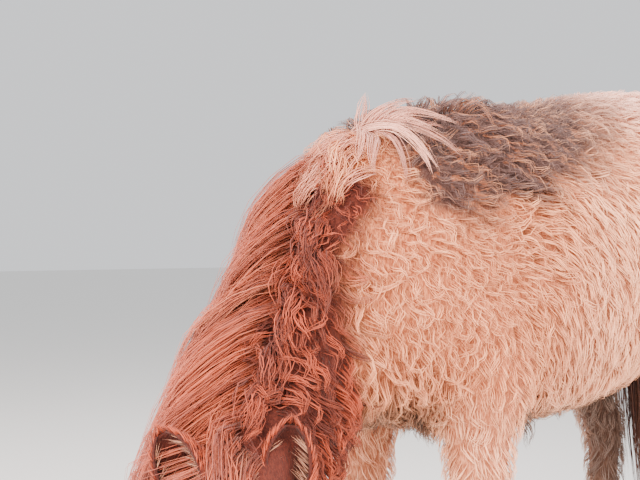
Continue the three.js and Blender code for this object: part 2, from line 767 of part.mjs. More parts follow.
// Tail: long locks from the dock, hanging nearly to the fetlocks
const fineDock = limb(DOCK, 1, 6);
const TAIL_RINGS = [
  // place on the dock, locks around it, height of their tips
  [6, 4, 400],
  [12, 4, 280],
  [18, 4, 200],
  [24, 4, 165],
];
for (const [i, count, tipHeight] of TAIL_RINGS) {
  for (let k = 0; k < count; k++) {
    const degrees = (360 * (k + 0.5)) / count + 20 * random();
    const root = skinPoint(fineDock, i, degrees, dockField, CORE.dock - 7, 1.6);
    if (root.x < fineDock[i].p.x - 8 && i < 12) continue;
    const heading = wayOut(dockField, root).multiplyScalar(0.5).add(new THREE.Vector3(0.1, 0, -1));
    const path = hang(dockField, root, heading, {
      length: vary(root.z - tipHeight, 0.06),
      level: (t) => mix(CORE.dock - 7, TIPS.dock, Math.min(1, 3 * t)),
      steps: 4,
      weight: 3.5,
      sway: 0.1 * (random() - 0.5),
    });
    const width = vary(66, 0.12);
    grow("tail", (spare) => blade(path, width, 30, spare));
  }
}

// Shaggy legs: locks that point down, in rings, and longer feather behind the fetlock
const LEG_RINGS = {
  foreleg: [
    // share of the way down, locks around, length, width, first angle
    [0.28, 4, 105, 70, 45],
    [0.56, 2, 90, 56, 140],
    [0.84, 3, 56, 40, 120],
  ],
  hindleg: [
    [0.22, 4, 120, 84, 45],
    [0.5, 2, 95, 60, 140],
    [0.85, 3, 56, 40, 120],
  ],
};
for (const [name, s] of SIDES) {
  for (const [kind, chains] of [["foreleg", foreLegs], ["hindleg", hindLegs]]) {
    const chain = chains[s];
    const field = legField(chain);
    LEG_RINGS[kind].forEach(([share, count, length, width, first], ring) => {
      const i = Math.round(share * (chain.length - 1));
      for (let k = 0; k < count; k++) {
        const turn = ring === 0 ? 360 / count : (360 - 2 * first) / (count - 1);
        const degrees = first + turn * k;
        const root = skinPoint(chain, i, degrees + 6 * random(), field, CORE.leg, 1.35);
        const path = hang(field, root, new THREE.Vector3(0.12, 0, -1), {
          length: vary(length, 0.1),
          level: rising(CORE.leg, TIPS.leg + (ring === 2 ? 10 : 0)),
          weight: 1,
          hug: ring < 2,
        });
        grow(`${kind}_${name}`, (spare) => blade(path, width, 13, spare));
      }
    });
  }
}

// Lids: an upper and a lower crescent over the edge of each eye
const LID_OPENING = 0.62; // radians from the eye's axis to its rim
function lid(s, half, spare) {
  const centre = onHead(...EYE_PLACE, -s * EYE_SIDE);
  const gaze = headLeft
    .clone()
    .multiplyScalar(-s)
    .addScaledVector(headOut, 0.32)
    .addScaledVector(headAlong, 0.05)
    .normalize();
  const tall = headOut.clone().addScaledVector(gaze, -headOut.dot(gaze)).normalize();
  const long = new THREE.Vector3().crossVectors(tall, gaze);
  const rings = [];
  const middle = (t) => {
    const turn = Math.PI * (half + t);
    const wide = LID_OPENING + 0.12;
    const ray = gaze
      .clone()
      .multiplyScalar(Math.cos(wide))
      .addScaledVector(long, Math.sin(wide) * Math.cos(turn) * 1.25)
      .addScaledVector(tall, Math.sin(wide) * Math.sin(turn) * 0.85)
      .normalize();
    return { p: centre.clone().addScaledVector(ray, EYE_RADIUS - 1), ray };
  };
  for (let k = 1; k < 6; k++) {
    const t = k / 6;
    const { p, ray } = middle(t);
    const ahead = new THREE.Vector3().subVectors(middle(t + 0.05).p, middle(t - 0.05).p).normalize();
    const side = new THREE.Vector3().crossVectors(ahead, ray);
    const w = 5.5 * Math.sqrt(Math.sin(Math.PI * t)) + spare;
    const h = 4 * Math.sqrt(Math.sin(Math.PI * t)) + spare;
    const at = (across, rise) => p.clone().addScaledVector(side, across).addScaledVector(ray, rise);
    rings.push([at(w, -h), at(0, h), at(-w, -h)]);
  }
  return solid(skinOfRings(rings, middle(-0.02).p, middle(1.02).p));
}

// Nostrils and the line of the mouth are hollows in the muzzle.
function hollow(along, out, toLeft, rAlong, rOut, rSide) {
  const geometry = new THREE.SphereGeometry(1, 8, 5);
  const turn = new THREE.Matrix4().makeBasis(headAlong, headOut, headLeft);
  geometry.scale(rAlong, rOut, rSide);
  geometry.applyMatrix4(turn);
  const centre = onHead(along, out, toLeft);
  geometry.translate(centre.x, centre.y, centre.z);
  return solid(geometry);
}
const nostrils = [left, right].map((s) => hollow(376, -24, -s * 34, 11, 7, 11));
const MOUTH_DEPTH = 7;
const muzzleAxis = headAxis.slice(-6);
const insideMuzzle = solid(skinAlong(muzzleAxis, headField, CORE.head - MOUTH_DEPTH, HEAD_SIDES, 2.0));
const mouthLine = cut(hollow(380, -69, 0, 58, 2.2, 60), insideMuzzle);

for (const [, s] of SIDES) {
  for (const half of [0, 1]) grow("head", (spare) => lid(s, half, spare));
}

// Each node is joined, cut clear of the ones before it, and kept as one closed body.
const finished = {};
const union = (list) => wasm.Manifold.union(list);
const eyes = SIDES.map(([, s]) => grown(eye(s)));
const ears = SIDES.map(([, s]) => earSpace(s));
const taken = [...largeHooves, ...eyes, ...ears, ...SIDES.flatMap(([, s]) => [eye(s), ear(s)])];
const legNames = Object.keys(bodies).filter((name) => name.includes("leg"));
const ORDER = ["torso", "head", "neck", "tail", ...legNames];
for (const name of ORDER) {
  const { parts, rooms } = grownParts[name];
  const extra = name === "head" ? [...nostrils, mouthLine] : [];
  const others = name === "head" ? [bodies.neck.room] : [];
  finished[name] = largest(cut(union(parts), union([...taken, ...extra, ...others])));
  taken.push(...rooms);
}
for (const [name, s] of SIDES) {
  finished[`ear_${name}`] = largest(cut(ear(s), bodies.head.room, bodies.neck.room));
  finished[`eye_${name}`] = largest(eye(s));
}
for (const [name, node] of nodes) finished[name] = node.solid;

// Colours read from the coat: cream body, chestnut head and neck, darker horn and eyes
const COAT_CREAM = { color: 0xd9b79c, roughness: 0.9, metalness: 0 };
const COAT_CHESTNUT = { color: 0x9a4a30, roughness: 0.9, metalness: 0 };
const HORN = { color: 0x5c5048, roughness: 0.55, metalness: 0 };
const EYE = { color: 0x1c110b, roughness: 0.08, metalness: 0 };
const finishOf = (name) => {
  if (name.startsWith("hoof")) return HORN;
  if (name.startsWith("eye")) return EYE;
  return /head|neck|ear|tail/.test(name) ? COAT_CHESTNUT : COAT_CREAM;
};

function meshOf(name, made) {
  const mesh = new THREE.Mesh(geometryOf(made), new THREE.MeshStandardMaterial(finishOf(name)));
  mesh.name = name;
  return mesh;
}

const pony = new THREE.Group();
pony.name = "pony";
for (const [name, made] of Object.entries(finished)) pony.add(meshOf(name, made));
const middle = new THREE.Box3().setFromObject(pony).getCenter(new THREE.Vector3());
pony.position.set(-middle.x, -middle.y, 0);
export default pony;
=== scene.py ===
# A young Shetland pony in a curly winter coat, life size, standing with its head down to graze.
# Metres, Z up. The pony faces -X and its left side is -Y.
import itertools
import math

import bmesh
import bpy
import numpy as np
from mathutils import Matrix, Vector
from mathutils.kdtree import KDTree


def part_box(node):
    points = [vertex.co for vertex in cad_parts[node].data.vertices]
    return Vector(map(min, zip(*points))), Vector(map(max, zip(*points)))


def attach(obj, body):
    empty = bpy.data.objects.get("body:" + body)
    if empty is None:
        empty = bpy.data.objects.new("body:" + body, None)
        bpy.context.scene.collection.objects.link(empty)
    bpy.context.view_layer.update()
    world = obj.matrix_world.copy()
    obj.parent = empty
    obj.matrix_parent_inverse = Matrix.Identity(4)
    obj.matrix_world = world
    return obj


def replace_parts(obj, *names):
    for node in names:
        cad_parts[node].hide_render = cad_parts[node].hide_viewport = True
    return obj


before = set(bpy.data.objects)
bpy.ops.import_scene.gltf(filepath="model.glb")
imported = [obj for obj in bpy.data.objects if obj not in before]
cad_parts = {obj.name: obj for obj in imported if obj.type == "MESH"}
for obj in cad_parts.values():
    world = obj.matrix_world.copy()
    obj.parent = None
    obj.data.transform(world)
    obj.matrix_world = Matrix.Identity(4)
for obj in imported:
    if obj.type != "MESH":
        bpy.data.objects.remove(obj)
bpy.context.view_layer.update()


# The flesh under the coat
# One body of muscle and bone: every limb is a chain of elliptical sections, and the chains melt
# into one another. It is only a sum of distances, from which the skin and the lie of the hair come.
HEAD_YAW = math.radians(38)
HEAD_DROP = math.radians(77)
POLL = np.array((-0.755, -0.080, 0.466))
ALONG = -np.array((
    math.cos(HEAD_DROP) * math.cos(HEAD_YAW),
    math.cos(HEAD_DROP) * math.sin(HEAD_YAW),
    math.sin(HEAD_DROP),
))
FOREHEAD = np.array((
    -math.sin(HEAD_DROP) * math.cos(HEAD_YAW),
    -math.sin(HEAD_DROP) * math.sin(HEAD_YAW),
    math.cos(HEAD_DROP),
))
NEAR_CHEEK = np.array((math.sin(HEAD_YAW), -math.cos(HEAD_YAW), 0.0))
EYE_RADIUS = 0.018
EYE_PLACE = (0.132, -0.026, 0.055)


def on_head(along, out, left):
    """A point given along the face from the poll, out of the forehead and to the pony's left."""
    return POLL + ALONG * along + FOREHEAD * out + NEAR_CHEEK * left


eye_low, eye_high = (np.array(corner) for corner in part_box("eye_left"))
SHIFT = (eye_low + eye_high) / 2 - on_head(*EYE_PLACE)
SHIFT[2] = 0.0

MM = 1000
# x, top, bottom and half width of the trunk, in millimetres
BACK_AND_BELLY = (
    (-455, 735, 590, 80), (-400, 820, 520, 118), (-320, 903, 487, 146), (-230, 920, 478, 170),
    (-110, 932, 474, 196), (10, 950, 478, 208), (130, 970, 498, 208), (240, 986, 540, 196),
    (340, 994, 610, 180), (420, 966, 690, 152), (480, 905, 770, 98), (512, 858, 806, 58),
)
TRUNK = [(x, 0, (top + low) / 2, half, (top - low) / 2) for x, top, low, half in BACK_AND_BELLY]
# x, y, z, half width and half depth, and the yaw of the section where the limb turns
SHOULDER = (
    (-262, 62, 842, 42, 62), (-345, 86, 745, 54, 78), (-415, 92, 662, 52, 66),
    (-350, 104, 600, 52, 66), (-300, 108, 545, 46, 58),
)
HAUNCH = (
    (325, 92, 868, 68, 92), (400, 104, 770, 74, 118), (345, 122, 660, 62, 104), (300, 126, 600, 50, 66),
)
BUTTOCK = ((465, 70, 850, 56, 66), (472, 88, 730, 56, 72), (420, 108, 620, 52, 72))
NECK = (
    (-290, 0, 802, 112, 165, 0), (-361, 0, 729, 95, 140, 0), (-468, -4, 637, 74, 108, 6),
    (-568, -8, 552, 65, 92, 18), (-634, -30, 475, 60, 86, 26), (-699, -47, 416, 56, 85, 34),
)
FORE_LEG = (
    (-318, 100, 600, 40, 50), (-302, 106, 530, 45, 55), (-305, 107, 470, 41, 50), (-308, 107, 385, 33, 39),
    (-311, 106, 318, 30, 32), (-314, 106, 286, 33, 35), (-310, 105, 245, 26, 28), (-308, 105, 180, 21, 24),
    (-305, 105, 125, 22, 26), (-307, 105, 98, 26, 29), (-322, 105, 62, 23, 25), (-332, 105, 30, 26, 28),
)
HIND_LEG = (
    (372, 112, 650, 46, 84), (366, 120, 560, 48, 74), (396, 120, 470, 36, 50), (440, 118, 402, 28, 40),
    (462, 117, 360, 30, 39), (463, 116, 310, 25, 31), (458, 116, 220, 21, 25), (452, 116, 140, 22, 26),
    (449, 116, 108, 26, 29), (430, 116, 68, 23, 25), (419, 116, 30, 26, 28),
)
DOCK = (
    (480, 0, 900, 24, 24), (548, 0, 878, 27, 24), (583, 0, 800, 26, 24), (586, 0, 700, 20, 20),
    (580, 0, 610, 14, 14),
)
# distance along the face, middle below the forehead, half width and half depth
FACE = (
    (8, -62, 46, 56), (60, -66, 60, 78), (120, -72, 66, 88), (190, -64, 50, 70), (262, -52, 40, 55),
    (330, -52, 40, 49), (366, -56, 40, 41), (384, -58, 38, 33), (397, -58, 30, 21),
)


def limb(stations, finer=3):
    """A chain of sections on a smooth curve through the stations: points, half sizes, side directions."""
    table = np.array([tuple(s) + (0,) * (6 - len(s)) for s in stations], float)
    points, sizes, yaw = table[:, :3] / MM, table[:, 3:5] / MM, np.radians(table[:, 5])
    ends = np.vstack((2 * points[0] - points[1], points, 2 * points[-1] - points[-2]))
    steps = np.sqrt(np.linalg.norm(np.diff(ends, axis=0), axis=1))
    out = []
    for k in range(len(points) - 1):
        a, b, c, d = ends[k:k + 4]
        before, here, after = steps[k:k + 3]
        leave = ((b - a) / before - (c - a) / (before + here) + (c - b) / here) * here
        arrive = ((c - b) / here - (d - b) / (here + after) + (d - c) / after) * here
        for j in range(finer + (k == len(points) - 2)):
            t = j / finer
            ease = t * t * (3 - 2 * t)
            turn = yaw[k] + (yaw[k + 1] - yaw[k]) * ease
            place = b + leave * t + (3 * (c - b) - 2 * leave - arrive) * t ** 2
            place = place + (2 * (b - c) + leave + arrive) * t ** 3
            w, deep = sizes[k] + (sizes[k + 1] - sizes[k]) * t
            out.append((*place, w, deep, math.sin(turn), -math.cos(turn), 0.0))
    return np.array(out)


limbs = {
    "trunk": limb(TRUNK), "shoulder": limb(SHOULDER), "haunch": limb(HAUNCH), "buttock": limb(BUTTOCK),
    "neck": limb(NECK), "foreleg": limb(FORE_LEG), "hindleg": limb(HIND_LEG), "dock": limb(DOCK),
}
face_line = np.array([
    (*on_head(s / MM, out / MM, 0), w / MM, d / MM, *NEAR_CHEEK) for s, out, w, d in FACE
])
limbs["head"] = face_line


def outside_segment(x, y, z, a, b):
    """Distance outside one length of a limb, with how far along it and to its side each point lies."""
    span = b[:3] - a[:3]
    px, py, pz = x - a[0], y - a[1], z - a[2]
    t = np.clip((px * span[0] + py * span[1] + pz * span[2]) / span.dot(span), 0, 1)
    px, py, pz = px - span[0] * t, py - span[1] * t, pz - span[2] * t
    w = a[3] + (b[3] - a[3]) * t
    d = a[4] + (b[4] - a[4]) * t
    side = (px * a[5] + py * a[6] + pz * a[7]) * (1 - t) + (px * b[5] + py * b[6] + pz * b[7]) * t
    rest = np.sqrt(np.maximum(px * px + py * py + pz * pz - side * side, 0))
    near = np.hypot(side / w, rest / d)
    slope = np.maximum(np.hypot(side / w ** 2, rest / d ** 2), 1e-6)
    return near * (near - 1) / slope, t, side, (px, py, pz)


def melt(a, b, k):
    """The smaller of two distances, with a soft fillet of width k between them."""
    h = np.maximum(k - np.abs(a - b), 0) / k
    return np.minimum(a, b) - h * h * k / 4


CELL = 0.007
FAR = 0.16
REACH = 0.11
GRID_LOW = np.array((-0.92, -0.294, -0.04))
GRID_HIGH = np.array((0.72, 0.294, 1.10))
grid_n = np.ceil((GRID_HIGH - GRID_LOW) / CELL).astype(int) + 1
half = int(round(-GRID_LOW[1] / CELL))
grid_x = GRID_LOW[0] + CELL * np.arange(grid_n[0])
grid_y = CELL * np.arange(-half, half + 1)
grid_z = GRID_LOW[2] + CELL * np.arange(grid_n[2])
GRID_LOW[1] = grid_y[0]


def limb_on_grid(chain, ys):
    """One limb's distance at every place of the grid that lies near it."""
    field = np.full((len(grid_x), len(ys), len(grid_z)), FAR, np.float32)
    for a, b in zip(chain[:-1], chain[1:]):
        reach = max(a[3], a[4], b[3], b[4]) + REACH
        spans = []
        for axis, values in enumerate((grid_x, ys, grid_z)):
            low, high = min(a[axis], b[axis]) - reach, max(a[axis], b[axis]) + reach
            spans.append(slice(*np.searchsorted(values, (low, high))))
        x, y, z = np.meshgrid(grid_x[spans[0]], ys[spans[1]], grid_z[spans[2]], indexing="ij", sparse=True)
        distance = outside_segment(x, y, z, a, b)[0]
        part = field[spans[0], spans[1], spans[2]]
        np.minimum(part, distance, out=part)
    return field


# How far the skin lies outside the bare muscle: the dense underfur of each part is part of it
UNDERFUR = {"trunk": 0.006, "neck": 0.005, "leg": 0.003, "head": 0.001, "dock": 0.003}
near_side = grid_y[half:]
trunk = limb_on_grid(limbs["trunk"], near_side)
for name, soft in (("shoulder", 0.060), ("haunch", 0.060), ("buttock", 0.040)):
    trunk = melt(trunk, limb_on_grid(limbs[name], near_side), soft)
legs = np.minimum(limb_on_grid(limbs["foreleg"], near_side), limb_on_grid(limbs["hindleg"], near_side))
trunk = melt(trunk - UNDERFUR["trunk"], legs - UNDERFUR["leg"], 0.050)
trunk = np.concatenate((trunk[:, :0:-1], trunk), axis=1)
neck_start = limbs["neck"][0, :3]
neck_way = limbs["neck"][1, :3] - neck_start
neck_way /= np.linalg.norm(neck_way)
gx, gy, gz = np.meshgrid(grid_x, grid_y, grid_z, indexing="ij", sparse=True)
behind = -sum((g - neck_start[k]) * neck_way[k] for k, g in enumerate((gx, gy, gz)))
neck = limb_on_grid(limbs["neck"], grid_y) - UNDERFUR["neck"] + 1.6 * np.maximum(behind + 0.05, 0)
body_grid = melt(trunk, neck, 0.070)
body_grid = melt(body_grid, limb_on_grid(limbs["dock"], grid_y) - UNDERFUR["dock"], 0.020)


def outside_ball(p, centre, along, out, side):
    """Distance outside a ball stretched along the head's own directions."""
    q = p - centre
    a, b, c = q @ ALONG / along, q @ FOREHEAD / out, q @ NEAR_CHEEK / side
    near = np.sqrt(a * a + b * b + c * c)
    slope = np.sqrt((a / along) ** 2 + (b / out) ** 2 + (c / side) ** 2)
    return near * (near - 1) / np.maximum(slope, 1e-6)


SIDES = ((1, "left"), (-1, "right"))
# place on the head, half sizes and fillet of the cheek, brow and nostril of each side, lip and chin
FACE_BALLS = [ball for side, word in SIDES for ball in (
    ((0.118, -0.092, side * 0.040), (0.072, 0.062, 0.026), 0.020),
    ((0.126, -0.010, side * 0.056), (0.034, 0.016, 0.017), 0.016),
    ((0.352, -0.026, side * 0.027), (0.026, 0.023, 0.021), 0.014),
)] + [
    ((0.384, -0.036, 0), (0.020, 0.024, 0.036), 0.016), ((0.376, -0.084, 0), (0.022, 0.017, 0.030), 0.014),
]


def outside_head(p):
    """Skull, cheeks, brows, nostrils, lips and chin."""
    value = np.full(len(p), FAR)
    for a, b in zip(face_line[:-1], face_line[1:]):
        value = np.minimum(value, outside_segment(p[:, 0], p[:, 1], p[:, 2], a, b)[0])
    for place, size, soft in FACE_BALLS:
        value = melt(value, outside_ball(p, on_head(*place), *size), soft)
    return value


HEAD_ROOM = 0.19
THROAT_FILLET = 0.025
head_low = face_line[:, :3].min(0) - HEAD_ROOM
head_high = face_line[:, :3].max(0) + HEAD_ROOM
grids = (grid_x, grid_y, grid_z)
spans = tuple(slice(*np.searchsorted(v, (head_low[i], head_high[i]))) for i, v in enumerate(grids))
near_head = np.stack(np.meshgrid(*(v[span] for v, span in zip(grids, spans)), indexing="ij"), -1)
head_values = outside_head(near_head.reshape(-1, 3)).reshape(near_head.shape[:3]) - UNDERFUR["head"]
flesh_grid = body_grid.copy()
flesh_grid[spans] = melt(body_grid[spans], head_values, THROAT_FILLET)


def with_slopes(grid):
    """The grid's distances, each with its slope along the three axes."""
    return np.stack((grid, *np.gradient(grid, CELL)), -1).astype(np.float32)


flesh = with_slopes(flesh_grid)
bare_body = with_slopes(body_grid)
CORNERS = list(itertools.product((0, 1), repeat=3))


def sample(grid, p):
    """Value and way out at each point, read between the places of the grid."""
    q = (p - GRID_LOW) / CELL
    q = np.clip(q, 0, np.array(grid.shape[:3]) - 1.001)
    i = q.astype(int)
    f = (q - i)[:, :, None]
    total = 0
    for dx, dy, dz in CORNERS:
        weight = (f[:, 0] if dx else 1 - f[:, 0]) * (f[:, 1] if dy else 1 - f[:, 1])
        weight = weight * (f[:, 2] if dz else 1 - f[:, 2])
        total = total + grid[i[:, 0] + dx, i[:, 1] + dy, i[:, 2] + dz] * weight
    slope = total[:, 1:]
    return total[:, 0], slope / np.maximum(np.linalg.norm(slope, axis=1, keepdims=True), 1e-6)


def surface_of(grid):
    """Quads around the level zero of the grid, one vertex in each cell that the level crosses."""
    inside = grid < 0
    n = np.array(grid.shape) - 1
    count = sum(inside[i:i + n[0], j:j + n[1], k:k + n[2]].astype(np.int8) for i, j, k in CORNERS)
    active = (count > 0) & (count < 8)
    cell = np.argwhere(active)
    number = np.full(active.shape, -1)
    number[active] = np.arange(len(cell))
    values = {c: grid[cell[:, 0] + c[0], cell[:, 1] + c[1], cell[:, 2] + c[2]] for c in CORNERS}
    total, hits = np.zeros((len(cell), 3)), np.zeros(len(cell))
    edges = [(a, axis) for a in CORNERS for axis in range(3) if not a[axis]]
    for a, axis in edges:
        b = tuple(1 if m == axis else a[m] for m in range(3))
        fa, fb = values[a], values[b]
        crossed = (fa < 0) != (fb < 0)
        t = np.where(crossed, fa / np.where(crossed, fa - fb, 1), 0)
        point = np.array(a, float) + t[:, None] * (np.array(b) - np.array(a))
        total += point * crossed[:, None]
        hits += crossed
    points = GRID_LOW + CELL * (cell + total / hits[:, None])
    quads = []
    for axis in range(3):
        u, v = (axis + 1) % 3, (axis + 2) % 3
        where = np.argwhere(np.diff(inside, axis=axis))
        where = where[(where[:, u] > 0) & (where[:, v] > 0)]
        where = where[(where[:, u] < grid.shape[u] - 1) & (where[:, v] < grid.shape[v] - 1)]
        ring = []
        for du, dv in ((-1, -1), (0, -1), (0, 0), (-1, 0)):
            at = where.copy()
            at[:, u] += du
            at[:, v] += dv
            ring.append(number[at[:, 0], at[:, 1], at[:, 2]])
        quad = np.stack(ring, 1)
        flip = ~inside[where[:, 0], where[:, 1], where[:, 2]]
        quad[flip] = quad[flip][:, ::-1]
        quads.append(quad)
    return points, np.concatenate(quads)


skin_points, skin_quads = surface_of(flesh_grid)
for _ in range(2):
    value, out = sample(flesh, skin_points)
    skin_points = skin_points - out * value[:, None]


def finer_head(points, quads):
    """The head's faces divided three times finer, so that eyelids, nostrils and lips have shape."""
    mesh = bmesh.new()
    verts = [mesh.verts.new(p) for p in points]
    for quad in quads:
        mesh.faces.new([verts[i] for i in quad])
    mesh.normal_update()
    on_face = (outside_head(points) < 0.004) & ((points - POLL) @ ALONG > 0.02)
    mesh.verts.index_update()
    edges = [e for e in mesh.edges if all(on_face[v.index] for v in e.verts)]
    bmesh.ops.subdivide_edges(mesh, edges=edges, cuts=2, use_grid_fill=True)
    mesh.verts.index_update()
    out = np.array([v.co for v in mesh.verts])
    faces = [[v.index for v in f.verts] for f in mesh.faces]
    mesh.free()
    return out, faces


# The lids' thickness, the half sizes of the opening between them, and the nostrils on the head
LID = 0.0026
OPENING = (0.0175, 0.0125)
NOSTRIL = (0.366, -0.018, 0.036)
NOSTRIL_SIZE = (0.016, 0.010, 0.011)
MOUTH_LINE = 0.069
eyes = {}
for side, word in SIDES:
    middle = on_head(*EYE_PLACE[:2], side * EYE_PLACE[2])
    gaze = NEAR_CHEEK * side + FOREHEAD * 0.32 + ALONG * 0.05
    gaze /= np.linalg.norm(gaze)
    corner = ALONG * 0.93 - FOREHEAD * 0.30
    corner -= gaze * corner.dot(gaze)
    corner /= np.linalg.norm(corner)
    eyes[word] = (middle, gaze, corner, np.cross(gaze, corner))


def outside_nostril(p, side):
    """Distance outside the hollow of one nostril."""
    return outside_ball(p, on_head(*NOSTRIL[:2], side * NOSTRIL[2]), *NOSTRIL_SIZE)


def outside_face(p):
    """The head with its eyelids, nostrils and the line of the mouth."""
    value = melt(outside_head(p) - UNDERFUR["head"], sample(bare_body, p)[0], THROAT_FILLET)
    for middle, gaze, corner, upright in eyes.values():
        q = p - middle
        r = np.linalg.norm(q, axis=1)
        value = melt(value, r - EYE_RADIUS - LID, 0.007)
        almond = (np.hypot(q @ corner / OPENING[0], q @ upright / OPENING[1]) - 1) * OPENING[1]
        carve = np.maximum(np.maximum(almond, EYE_RADIUS - 0.0016 - r), -(q @ gaze))
        value = -melt(-value, carve, 0.002)
    for side, word in SIDES:
        value = -melt(-value, outside_nostril(p, side), 0.004)
    q = p - POLL
    lips = np.exp(-((q @ FOREHEAD + MOUTH_LINE) / 0.0030) ** 2)
    return value + 0.0045 * lips * np.clip((q @ ALONG - 0.325) / 0.02, 0, 1)


skin_points, skin_faces = finer_head(skin_points, skin_quads)
head_part = np.flatnonzero(outside_head(skin_points) < 0.02)
STEP = 0.0008
for _ in range(5):
    p = skin_points[head_part]
    value = outside_face(p)
    rises = [outside_face(p + STEP * axis) - outside_face(p - STEP * axis) for axis in np.eye(3)]
    slope = np.stack(rises, 1) / (2 * STEP)
    size = np.maximum((slope ** 2).sum(1), 0.2)
    skin_points[head_part] = p - slope * np.clip(value / size, -0.003, 0.003)[:, None]


# Regions and the unwrap of the skin
# Each place belongs to a limb, as a tanner would divide a hide: trunk, neck, head, dock and four legs.
# Its distance along the limb and its angle around it unwrap the skin, each limb on a chart of its own.
regions = {}
for name in ("trunk", "neck", "head", "dock"):
    regions[name] = (limbs[name], 0)
for name in ("foreleg", "hindleg"):
    regions[name + "_left"] = (limbs[name], -1)
    regions[name + "_right"] = (limbs[name], 1)
# left, bottom, width and height of each limb's chart in the unwrap
CHARTS = {
    "trunk": (0.01, 0.01, 0.50, 0.58), "neck": (0.53, 0.01, 0.30, 0.36), "head": (0.53, 0.39, 0.25, 0.24),
    "foreleg_left": (0.01, 0.62, 0.12, 0.35), "foreleg_right": (0.14, 0.62, 0.12, 0.35),
    "hindleg_left": (0.27, 0.62, 0.12, 0.35), "hindleg_right": (0.40, 0.62, 0.12, 0.35),
    "dock": (0.85, 0.01, 0.12, 0.30),
    "ear_left": (0.55, 0.66, 0.12, 0.12), "ear_right": (0.70, 0.66, 0.12, 0.12),
}


def along_limb(name, p):
    """Distance outside a limb, the share of its length and the angle around it, for each point."""
    chain, mirrored = regions[name]
    x, y, z = p.T
    if mirrored:
        y = y * mirrored
    lengths = np.linalg.norm(np.diff(chain[:, :3], axis=0), axis=1)
    starts = np.concatenate(((0,), np.cumsum(lengths)))
    best = np.full(len(p), 1e9)
    share, angle = np.zeros(len(p)), np.zeros(len(p))
    for i, (a, b) in enumerate(zip(chain[:-1], chain[1:])):
        distance, t, side, (px, py, pz) = outside_segment(x, y, z, a, b)
        span = (b[:3] - a[:3]) / lengths[i]
        up = np.cross(a[5:8], span)
        up /= np.linalg.norm(up)
        over = px * up[0] + py * up[1] + pz * up[2]
        better = distance < best
        best = np.where(better, distance, best)
        share = np.where(better, (starts[i] + t * lengths[i]) / starts[-1], share)
        angle = np.where(better, np.arctan2(side, over), angle)
    if mirrored:
        best = best + np.maximum(-y, 0) * 2
    return best, share, angle


def limbs_at(p):
    """For each point: distance outside each limb, and its place on each."""
    return {name: along_limb(name, p) for name in regions}


def on_chart(name, across, up):
    """A place in the unwrap, given by its share of a chart's width and height."""
    u0, v0, width, height = CHARTS[name]
    return np.stack((u0 + width * across, v0 + height * up), -1)


skin_limbs = limbs_at(skin_points)
owner = np.argmin(np.stack([skin_limbs[n][0] for n in regions]), 0)
corner_vertex = np.concatenate([np.array(f) for f in skin_faces])
face_size = np.array([len(f) for f in skin_faces])
face_start = np.concatenate(((0,), np.cumsum(face_size)[:-1]))
corner_face = np.repeat(np.arange(len(skin_faces)), face_size)
face_owner = owner[corner_vertex[face_start]]
skin_uv = np.zeros((len(corner_vertex), 2))
for k, name in enumerate(regions):
    share, angle = skin_limbs[name][1:]
    mine = face_owner[corner_face] == k
    first = angle[corner_vertex[face_start]][corner_face[mine]] / math.tau
    turned = angle[corner_vertex[mine]] / math.tau
    turned = turned - np.round(turned - first)
    skin_uv[mine] = on_chart(name, turned + 0.5, share[corner_vertex[mine]])
vertex_uv = np.zeros((len(skin_points), 2))
vertex_uv[corner_vertex] = skin_uv


# Ears
# A short pricked cup of gristle on each side of the poll, open to the front, part of the skin at its root.
# It is a sheet rolled round the ear's own line; the pony's left ear stands up, its right one leans out.
EAR_LENGTH = 0.094
EAR_WIDTH = 0.033
EAR_LEAN = {1: 0.14, -1: 0.62}
EAR_WALL = 0.0035
EAR_ROWS, EAR_COLUMNS = 22, 26
EAR_SHEET = EAR_ROWS * EAR_COLUMNS


def ear_point(side, row, across, wall):
    """A point of the ear's cup: row 0 root to 1 tip, across -1 to 1, wall 0 inside to 1 outside."""
    root = on_head(0.032, -0.030, side * 0.050)
    left = NEAR_CHEEK * side
    up = np.array((0, 0, 1)) + EAR_LEAN[side] * left + 0.05 * FOREHEAD
    up /= np.linalg.norm(up)
    opening = FOREHEAD + 0.25 * left
    opening -= up * opening.dot(up)
    opening /= np.linalg.norm(opening)
    wide = np.cross(up, opening)
    roll = np.radians(150 - 55 * row) * across
    radius = EAR_WIDTH * np.sin(np.pi * np.minimum(0.97, 0.22 + 0.75 * row)) ** 0.55
    radius = radius - EAR_WALL * (1 - wall)
    back = -np.cos(roll) * radius * 0.85 - 0.006 * row ** 2
    height = row * EAR_LENGTH - 0.008
    place = root + up * height[..., None] + wide * (np.sin(roll) * radius)[..., None]
    return place + opening * back[..., None]


def ear_chart(word, row, across, inner):
    """The unwrap of an ear: the outside of its cup on the left half of its chart, the inside beside it."""
    return on_chart("ear_" + word, 0.25 + 0.5 * inner + 0.22 * across, row)


